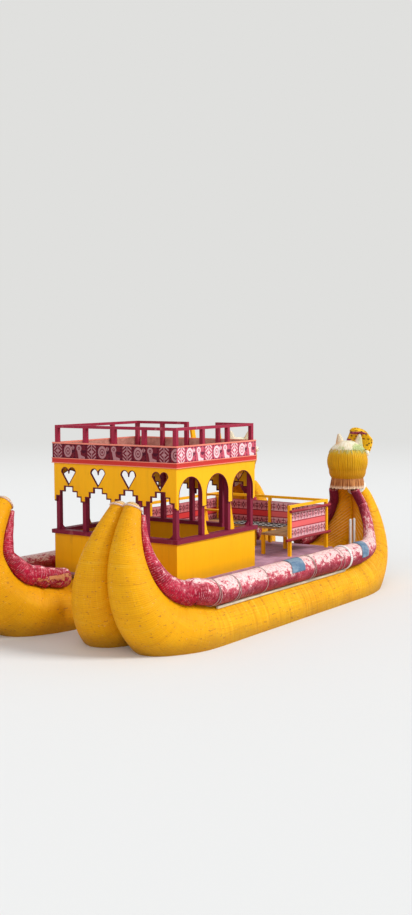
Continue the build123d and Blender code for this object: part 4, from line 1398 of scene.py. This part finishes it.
class NecksOperator(bpy.types.Operator):
    """Straw skirts over the ends of the bundles, and the pale bands tied round them."""

    bl_idname = "reed_boat.necks"
    bl_label = "Necks"

    def execute(self, context):
        straw = straw_finish("neck_straw", seen(208, 142, 84), seen(122, 62, 30),
                             pale=seen(232, 200, 168), below=NECK_SECTIONS[0][0] + 0.02)
        bands = []
        for number, (name, side) in enumerate(SIDES):
            y = side * settings("hull").spacing / 2
            make_piece(f"skirt_{name}", [(straw, neck_patches(y, 110 + number))],
                       [f"neck_lashing_{name}"])
            _, points, up, radius, _, _ = bundle_centres(side, side, FINE_ROWS)
            for step in range(BANDS):
                above = points[:, 2] > BAND_LOW + BAND_STEP * step
                near = int(np.argmax((points[:, 0] > 0) & above))
                ring = circle(points[near], radius[near] + 0.016, up[near], 48)
                ahead = np.cross(LEVEL, up[near])
                bands.append(tube(ring, BAND_RADIUS, ahead, sides=10, closed=True))
        make_piece("neck_bands", [(rope_finish("white_band", seen(250, 246, 236)), bands)])
        return {"FINISHED"}


class HeadsOperator(bpy.types.Operator):
    """Animal heads: balls of reeds, cream crowns with ears, jaws and eyes."""

    bl_idname = "reed_boat.heads"
    bl_label = "Heads"

    def execute(self, context):
        reed, spotted, eye, cream = head_finish(), spotted_finish(), eye_finish(), crown_finish()
        eyes = []
        for number, (name, side) in enumerate(SIDES):
            y = side * settings("hull").spacing / 2
            make_piece(f"ball_{name}", [(reed, [head_patch(y, 130 + number)])],
                       [f"head_{name}"])
            make_piece(f"cap_{name}", [(cream, crown_patches(y, 140 + number) + ear_patches(y))],
                       [f"crown_{name}"])
            make_piece(f"snout_{name}", [(spotted, [jaw_patch(stations, y, *rest)
                                                    for stations, *rest in JAWS[side]])],
                       [f"jaws_{name}"])
            for turn in (-1, 1):
                centre = (HEAD_FORWARD + EYE_FORWARD, y + turn * EYE_ASIDE, EYE_HEIGHT)
                eyes.append(ball(centre, EYE_RADIUS, (0.55, turn * 0.80, 0.25)))
        make_piece("eye_balls", [(eye, eyes)], ["eyes"])
        return {"FINISHED"}


# ---------------------------------------------------------------- cabin

STEPS = ((0.290, 2.155), (0.200, 2.245), (0.100, 2.330))
STERN_BAYS, SIDE_BAYS = 4, 3
STERN_BAY = 2 * CABIN_HALF / STERN_BAYS
SIDE_BAY = float(WALL_HIGH[0] - WALL_LOW[0]) / SIDE_BAYS
ARCH_SPRING, ARCH_HALF = 2.25, 0.33


def stepped_line():
    """Outline of the four stepped openings across an end wall, from one corner to the other."""
    line = [(-CABIN_HALF + 0.012, PANEL_LOW[2])]
    for bay in range(STERN_BAYS):
        y = -CABIN_HALF + STERN_BAY * (bay + 0.5)
        up = [(y - STEPS[0][0], PANEL_LOW[2])]
        for number, (half, top) in enumerate(STEPS):
            up.append((y - half, top))
            if number + 1 < len(STEPS):
                up.append((y - STEPS[number + 1][0], top))
        line += up + [(2 * y - a, b) for a, b in reversed(up)]
    line.append((CABIN_HALF - 0.012, PANEL_LOW[2]))
    return np.array(line)


def heart_line(y):
    """Closed outline of a heart: two straight sides and two half circles."""
    quarter, tip, shoulder = 0.0825, 2.352, 2.585
    turn = np.linspace(0, np.pi, 17)
    right = np.stack([y + quarter + quarter * np.cos(turn), shoulder + quarter * np.sin(turn)], 1)
    left = right - (2 * quarter, 0)
    return np.concatenate([[(y, tip)], right, left[1:]])


def arch_line(x):
    """Outline of an arched opening: uprights and a half circle."""
    turn = np.linspace(0, np.pi, 33)
    curve = np.stack([x + ARCH_HALF * np.cos(turn), ARCH_SPRING + ARCH_HALF * np.sin(turn)], 1)
    return np.concatenate([[(x + ARCH_HALF, ARCH_FOOT)], curve, [(x - ARCH_HALF, ARCH_FOOT)]])


def edging(line, axis, at, thickness, width, closed=False):
    """An edging that wraps the cut edge of a board. line is in the board's plane; axis is the
    board's normal and at the middle of its thickness."""
    path = np.insert(np.asarray(line, float), axis, at, axis=1)
    depth = thickness + 2 * settings("cabin").proud
    return carried(eased(width, depth, 0.003), path, np.eye(3)[axis], closed)


def gusset(x, y, along, thickness, rise):
    """A small board on the sill in a corner: at each place out from the corner its height is
    rise times the square of what is left of its reach."""
    t = np.linspace(0, 1, 14)
    height = (rise * (1 - t) ** 2 + 0.004)[:, None] * UP
    base = np.array([x, y, SILL_TOP]) + np.outer(t * settings("cabin").gusset, along)
    half = thickness / 2 * np.cross(along, UP)
    section = np.stack([base - half, base - half + height, base + half + height, base + half], 1)
    return surface(section, loop_columns=True, capped=True)


class CabinOperator(bpy.types.Operator):
    """Cabin walls, posts, sill and cut panels, with edgings round every opening and gussets
    on the sill."""

    bl_idname = "reed_boat.cabin"
    bl_label = "Cabin"

    def execute(self, context):
        colours, cabin = settings("colours"), settings("cabin")
        yellow = board_finish("yellow_board_paint", colours.yellow, seen(196, 132, 30), wear=0.3,
                              grime=0.35)
        maroon = board_finish("maroon_post_paint", colours.maroon, seen(170, 96, 100), wear=0.5)
        dark = board_finish("dark_edge_paint", seen(104, 22, 40), seen(150, 70, 60), wear=0.3)
        dress(yellow, *(f"lower_wall_{name}" for name in ("stern", "bow", "port", "starboard")),
              "stepped_panel_stern", "stepped_panel_bow", "arch_panel_port",
              "arch_panel_starboard")
        dress(maroon, "sill", "cabin_posts")
        board = float(PANEL_HIGH[0] - PANEL_LOW[0])
        strips = []
        for x in (WALL_LOW[0] + board / 2, WALL_HIGH[0] - board / 2):
            strips.append(edging(stepped_line(), 0, x, board, cabin.edging))
            for bay in range(STERN_BAYS):
                line = heart_line(-CABIN_HALF + STERN_BAY * (bay + 0.5))
                strips.append(edging(line, 0, x, board, cabin.edging * 0.6, closed=True))
        for y in (-CABIN_HALF + board / 2, CABIN_HALF - board / 2):
            for bay in range(SIDE_BAYS):
                line = arch_line(WALL_LOW[0] + SIDE_BAY * (bay + 0.5))
                strips.append(edging(line, 1, y, board, cabin.edging * 0.6))
                if bay + 1 < SIDE_BAYS:
                    foot = line[0]
                    next_foot = (foot[0] + SIDE_BAY - 2 * ARCH_HALF, foot[1])
                    strips.append(edging([foot, next_foot], 1, y, board, cabin.edging * 0.6))
        make_piece("opening_edgings", [(dark, strips)])
        red_gussets, yellow_gussets = [], []
        for side in (-1, 1):
            y = side * (CABIN_HALF - board - 0.04)
            for x, way in ((WALL_LOW[0] + board + 0.08, 1), (WALL_HIGH[0] - board - 0.08, -1)):
                red_gussets.append(gusset(x, y, (way, 0, 0), 0.03, 0.10))
            for bay in range(1, SIDE_BAYS):
                yellow_gussets.append(gusset(WALL_LOW[0] + SIDE_BAY * bay + 0.04,
                                             side * (CABIN_HALF - 0.035), (1, 0, 0), 0.022, 0.42))
        for x in (WALL_LOW[0] + board + 0.04, WALL_HIGH[0] - board - 0.04):
            for y, way in ((-CABIN_HALF + board + 0.08, 1), (CABIN_HALF - board - 0.08, -1)):
                red_gussets.append(gusset(x, y, (0, way, 0), 0.03, 0.10))
        make_piece("corner_gussets", [(maroon, red_gussets)])
        make_piece("arch_gussets", [(yellow, yellow_gussets)])
        return {"FINISHED"}


def cabin_ring(overhang):
    """The cabin's outline as a closed path, its corners past the walls by overhang."""
    x0, x1 = WALL_LOW[0] - overhang, WALL_HIGH[0] + overhang
    y = CABIN_HALF + overhang
    return np.array([(x0, -y, 0), (x1, -y, 0), (x1, y, 0), (x0, y, 0)], float)


class RoofOperator(bpy.types.Operator):
    """Roof edge: a strip, a woven band and a cap, and the guard round the roof."""

    bl_idname = "reed_boat.roof"
    bl_label = "Roof"

    def execute(self, context):
        colours = settings("colours")
        maroon = board_finish("maroon_rail_paint", shaded(colours.maroon, (1.5, 1.4, 1.2)),
                              seen(206, 128, 130), wear=0.5)
        red = board_finish("strip_paint", colours.red, seen(230, 120, 100), wear=0.4,
                           grain_axis=0)
        salmon = board_finish("cap_paint", colours.salmon, seen(200, 96, 84), wear=0.4,
                              grain_axis=0)
        dress(maroon, "roof_posts", "roof_rail")
        dress(wood_finish("roof_boards", colours.wood), "roof_deck")
        dress(salmon, "roof_cap")
        low, high = box("roof_strip")
        middle, tall = (low[2] + high[2]) / 2, high[2] - low[2]
        depth = float(WALL_LOW[0] - low[0])
        path = cabin_ring(0.0) + (0, 0, middle)
        strip = carried(eased(depth, tall, 0.006, (-depth / 2 + 0.001, 0)), path, UP, closed=True)
        lines = [carried(eased(0.012, 0.014, 0.002, (-depth - 0.001, offset)), path, UP,
                         closed=True)
                 for offset in (-tall / 2 + 0.008, tall / 2 - 0.006)]
        make_piece("under_band_strip", [(red, [strip]), (salmon, lines)],
                   ["roof_strip"])
        low, high = box("roof_fascia")
        out = float(WALL_LOW[0] - low[0])
        tall = float(high[2] - low[2])
        # Two copies of one woven band: a bright one painted as in sunlight, a dark one painted as
        # in shade
        sunlit_band = scroll_finish("painted_sunlit_band", seen(208, 92, 110), seen(240, 220, 222),
                               seen(92, 36, 60))
        shaded_band = scroll_finish("painted_shade_band", seen(114, 36, 48), seen(186, 138, 142),
                               seen(66, 20, 38))
        parts = {}
        corners = cabin_ring(out)
        t = np.linspace(0, 1, 40)
        u = np.linspace(0, 1, 9)
        inset = 0.03
        # The stern side takes the painted shade copy, the other three sides the painted sunlit copy
        for number, material in enumerate((sunlit_band, sunlit_band, sunlit_band, shaded_band)):
            start, end = corners[number], corners[(number + 1) % 4]
            length = np.linalg.norm(end - start)
            ahead = (end - start) / length
            outward = np.cross(ahead, (0, 0, 1))
            skin = start + np.outer(t * length, ahead)
            front = skin[:, None] + (low[2] + tall * u)[None, :, None] * UP
            shrink = (t[:, None] * 2 - 1)[..., None] * -inset * ahead
            back = front[:, ::-1] - outward * inset + shrink
            grid = np.concatenate([front, back], 1)
            around = np.concatenate([u, u[::-1], [0]])
            patch = surface(grid, np.append(t * length, length), around, loop_columns=True,
                            capped=True)
            parts.setdefault(material.name, (material, []))[1].append(patch)
        make_piece("roof_band", list(parts.values()), ["roof_fascia"])
        return {"FINISHED"}


class PlatformOperator(bpy.types.Operator):
    """Fore deck and cabin floor boards, cross beams, thole block, bench seats and ladder."""

    bl_idname = "reed_boat.platform"
    bl_label = "Platform and ladder"

    def execute(self, context):
        colours = settings("colours")
        dress(deck_finish(), "fore_deck", "cabin_floor")
        dress(wood_finish("beam_wood", colours.wood, axis=1), "cross_beams", "thole_block")
        dress(wood_finish("seat_wood", seen(196, 152, 104), axis=0), "bench_seats")
        dress(board_finish("ladder_paint", colours.yellow, seen(190, 140, 60), wear=0.6),
              "ladder")
        return {"FINISHED"}


# ---------------------------------------------------------------- benches and fittings

class BenchesOperator(bpy.types.Operator):
    """Benches of the fore deck: frames, woven backs with a plain stripe, and a woven cover."""

    bl_idname = "reed_boat.benches"
    bl_label = "Benches"

    def execute(self, context):
        colours = settings("colours")
        dress(board_finish("bench_paint", colours.yellow, seen(190, 120, 40), wear=0.5),
              "bench_posts", "bench_top_rails")
        dress(board_finish("round_rail_paint", seen(150, 44, 56), seen(190, 120, 120), wear=0.5,
                           grain_axis=0), "bench_rails")
        near = woven_finish("bench_weave", seen(236, 190, 196), seen(124, 24, 44),
                            seen(190, 52, 66), seen(238, 112, 112))
        # A darker copy of the same weave for the port side: painted shade
        far = woven_finish("painted_shade_bench_weave", seen(206, 128, 134), seen(92, 20, 36),
                           seen(150, 36, 48), seen(214, 62, 62))
        low, high = box("bench_backs")
        posts = box("bench_posts")
        base, top = low[2], high[2]
        starboard = -CABIN_HALF + 0.03
        port = CABIN_HALF - 0.03
        bow = posts[1][0] - 0.03
        # Forward faces of the posts where the side benches start, aft face of the port bench's
        # middle post
        aft_starboard, aft_port = 1.28 + 0.06, 0.35 + 0.06
        middle = 1.77
        spans = (((aft_starboard, starboard), (bow - 0.03, starboard)),
                 ((aft_port, port), (middle, port)),
                 ((middle + 0.06, port), (bow - 0.03, port)),
                 ((bow, -CABIN_HALF + 0.06), (bow, -0.03)),
                 ((bow, 0.03), (bow, CABIN_HALF - 0.06)))
        for number, (start, end) in enumerate(spans):
            start, end = np.array([*start, 0.0]), np.array([*end, 0.0])
            length = float(np.linalg.norm(end - start))
            ahead = (end - start) / length
            outward = np.cross(ahead, (0, 0, 1))
            t = np.linspace(0, 1, 48)[:, None]
            u = np.linspace(0, 1, 28)[None]
            swell = np.sin(np.pi * t)
            slack = 0.007 * waves(t * 5, u * 3, 200 + number) * swell * np.sin(np.pi * u)
            height = base + (top - base) * u + 0.006 * swell * (1 - 2 * u)
            points = start + (t * length)[..., None] * ahead + slack[..., None] * outward \
                + height[..., None] * UP
            patch = surface(points, t.ravel() * length, np.append(u.ravel(), 1))
            # Cloths on the port side take the darker copy, which is painted shade
            piece = make_piece(f"bench_cloth_{number + 1}",
                               [(far if start[1] > 0 else near, [patch])],
                               ["bench_backs"])
            thicken(piece, 0.006, 0.0)
        low, high = box("seat_cover")
        t = np.linspace(0, 1, 60)[:, None]
        u = np.linspace(0, 1, 60)[None]
        x = low[0] + (high[0] - low[0]) * t + 0 * u
        y = low[1] + (high[1] - low[1]) * u + 0 * t
        z = low[2] + 0.004 + 0.008 * (waves(x * 4, y * 4, 230) + 1) / 2
        patch = surface(np.stack([x, y, z], -1))
        piece = make_piece("bench_cover", [(cover_finish(), [patch])],
                           ["seat_cover"])
        thicken(piece, 0.006, 1.0)
        return {"FINISHED"}


class FittingsOperator(bpy.types.Operator):
    """The side pole and the two thole pins."""

    bl_idname = "reed_boat.fittings"
    bl_label = "Pole and thole pins"

    def execute(self, context):
        pale = wood_finish("pale_pole_wood", seen(228, 214, 184), axis=0)
        low, high = box("side_pole")
        radius = float(high[2] - low[2]) / 2
        run = np.linspace(low[0], high[0], 140)
        line = np.column_stack([run, np.full(140, (low[1] + high[1]) / 2),
                                np.full(140, (low[2] + high[2]) / 2)])
        angle = full_turn(20)
        girth = radius * (1 - 0.10 * np.abs(waves(run[:, None] * 2, angle[None], 240)))
        girth[[0, -1]] *= 0.8
        make_piece("pole", [(pale, [tube(line, girth, (0, 0, 1), sides=20)])],
                   ["side_pole"])
        pins = []
        low, high = box("thole_pins")
        y = (low[1] + high[1]) / 2
        radius = float(high[1] - low[1]) / 2
        for number, x in enumerate((low[0] + radius, high[0] - radius)):
            height = np.linspace(low[2], high[2], 60)
            line = np.column_stack([np.full(60, x), np.full(60, y), height])
            lumps = np.abs(waves(height[:, None] * 6, angle[None], 250 + number))
            taper = radius * (1 - 0.08 * lumps)
            taper[-4:] *= np.array([0.98, 0.93, 0.8, 0.55])[:, None]
            pins.append(tube(line, taper, (1, 0, 0), sides=20))
        make_piece("pins", [(wood_finish("pale_pin_wood", seen(238, 232, 222), axis=2), pins)],
                   ["thole_pins"])
        return {"FINISHED"}


# ---------------------------------------------------------------- stage

CAMERA_PLACE = (-17.32, -12.565, 4.22)
CAMERA_YAW, CAMERA_PITCH, CAMERA_ROLL = 35.3, -3.96, -0.31


class StageOperator(bpy.types.Operator):
    """Pale floor at the waterline, plain soft light and the camera."""

    bl_idname = "reed_boat.stage"
    bl_label = "Floor, light and camera"

    def execute(self, context):
        stage = settings("stage")
        scene = context.scene
        mesh = bpy.data.meshes.new("floor")
        reach = 400.0
        mesh.from_pydata([(-reach, -reach, 0), (reach, -reach, 0), (reach, reach, 0),
                          (-reach, reach, 0)], [], [(0, 1, 2, 3)])
        floor = bpy.data.objects.new("floor", mesh)
        scene.collection.objects.link(floor)
        finish = Finish("floor", roughness=0.9, specular=0.1)
        x, y, _ = finish.split(finish.place())
        far = ((x ** 2.0 + y ** 2.0) ** 0.5).rise(14.0, 60.0)
        finish.done(stage.floor)
        # Far off, the camera sees the floor in the colour of the surroundings
        glow = finish.node("ShaderNodeEmission")
        finish.put(glow.inputs["Color"], stage.floor)
        watcher = Field(finish, finish.node("ShaderNodeLightPath").outputs["Is Camera Ray"])
        blend = finish.node("ShaderNodeMixShader")
        finish.put(blend.inputs[0], far * watcher)
        output = next(n for n in finish.tree.nodes if n.type == "OUTPUT_MATERIAL")
        finish.tree.links.new(finish.shader.outputs[0], blend.inputs[1])
        finish.tree.links.new(glow.outputs[0], blend.inputs[2])
        finish.tree.links.new(blend.outputs[0], output.inputs["Surface"])
        mesh.materials.append(finish.material)
        world = bpy.data.worlds.new("surroundings")
        scene.world = world
        world.use_nodes = True
        tree = world.node_tree
        tree.nodes.clear()
        lit, shown = tree.nodes.new("ShaderNodeBackground"), tree.nodes.new("ShaderNodeBackground")
        lit.inputs["Color"].default_value = (*seen(246, 248, 252), 1)
        lit.inputs["Strength"].default_value = stage.sky
        shown.inputs["Color"].default_value = (*tuple(stage.floor)[:3], 1)
        shown.inputs["Strength"].default_value = 1.0
        path = tree.nodes.new("ShaderNodeLightPath")
        choose = tree.nodes.new("ShaderNodeMixShader")
        end = tree.nodes.new("ShaderNodeOutputWorld")
        seen_by = tree.nodes.new("ShaderNodeMath"), tree.nodes.new("ShaderNodeMath")
        for node in seen_by:
            node.operation = "MAXIMUM"
        tree.links.new(path.outputs["Is Camera Ray"], seen_by[0].inputs[0])
        tree.links.new(path.outputs["Is Glossy Ray"], seen_by[0].inputs[1])
        tree.links.new(seen_by[0].outputs[0], seen_by[1].inputs[0])
        tree.links.new(path.outputs["Is Transmission Ray"], seen_by[1].inputs[1])
        tree.links.new(seen_by[1].outputs[0], choose.inputs[0])
        tree.links.new(lit.outputs[0], choose.inputs[1])
        tree.links.new(shown.outputs[0], choose.inputs[2])
        tree.links.new(choose.outputs[0], end.inputs["Surface"])
        for name, strength, angle, towards in (
                ("key", stage.key, 22, (0.30, -0.72, 0.62)),
                ("fill", stage.fill, 50, (-0.85, -0.25, 0.45))):
            lamp = bpy.data.lights.new(name, "SUN")
            lamp.energy, lamp.angle = strength, math.radians(angle)
            holder = bpy.data.objects.new(name, lamp)
            holder.rotation_mode = "QUATERNION"
            holder.rotation_quaternion = Vector(towards).to_track_quat("Z", "Y")
            scene.collection.objects.link(holder)
        camera = bpy.data.cameras.new("camera")
        camera.lens, camera.sensor_width, camera.clip_end = stage.lens, 36.0, 2000.0
        holder = bpy.data.objects.new("camera", camera)
        yaw, pitch, roll = (math.radians(v) for v in (CAMERA_YAW, CAMERA_PITCH, CAMERA_ROLL))
        ahead = Vector((math.cos(pitch) * math.cos(yaw), math.cos(pitch) * math.sin(yaw),
                        math.sin(pitch)))
        right = Vector((math.sin(yaw), -math.cos(yaw), 0))
        over = right.cross(ahead)
        turned_right = math.cos(roll) * right + math.sin(roll) * over
        turned_over = -math.sin(roll) * right + math.cos(roll) * over
        matrix = Matrix((turned_right, turned_over, -ahead)).transposed().to_4x4()
        matrix.translation = Vector(CAMERA_PLACE)
        holder.matrix_world = matrix
        scene.collection.objects.link(holder)
        scene.camera = holder
        scene.view_settings.view_transform = "Standard"
        return {"FINISHED"}


OPERATORS = (BundlesOperator, RollsOperator, TiesOperator, NecksOperator, HeadsOperator,
             CabinOperator, RoofOperator, PlatformOperator, BenchesOperator, FittingsOperator,
             StageOperator)
GROUPS = {"hull": HullSettings, "head": HeadSettings, "cabin": CabinSettings,
          "colours": ColourSettings, "stage": StageSettings}


class ReedBoatPanel(bpy.types.Panel):
    """Lists the boat's pieces and settings."""

    bl_idname = "VIEW3D_PT_reed_boat"
    bl_label = "Reed boat"
    bl_space_type = "VIEW_3D"
    bl_region_type = "UI"
    bl_category = "Reed boat"

    def draw(self, context):
        for operator in OPERATORS:
            self.layout.operator(operator.bl_idname)
        for name, group in GROUPS.items():
            box_layout = self.layout.box()
            box_layout.label(text=name.capitalize())
            for key in group.__annotations__:
                box_layout.prop(settings(name), key)


def register():
    for group in GROUPS.values():
        bpy.utils.register_class(group)
    for name, group in GROUPS.items():
        setattr(bpy.types.Scene, "reed_boat_" + name, PointerProperty(type=group))
    for operator in OPERATORS:
        bpy.utils.register_class(operator)
    bpy.utils.register_class(ReedBoatPanel)


def unregister():
    bpy.utils.unregister_class(ReedBoatPanel)
    for operator in reversed(OPERATORS):
        bpy.utils.unregister_class(operator)
    for name in GROUPS:
        delattr(bpy.types.Scene, "reed_boat_" + name)
    for group in reversed(list(GROUPS.values())):
        bpy.utils.unregister_class(group)


def main():
    register()
    for operator in OPERATORS:
        area, name = operator.bl_idname.split(".")
        getattr(getattr(bpy.ops, area), name)()


if __name__ == "__main__":
    main()
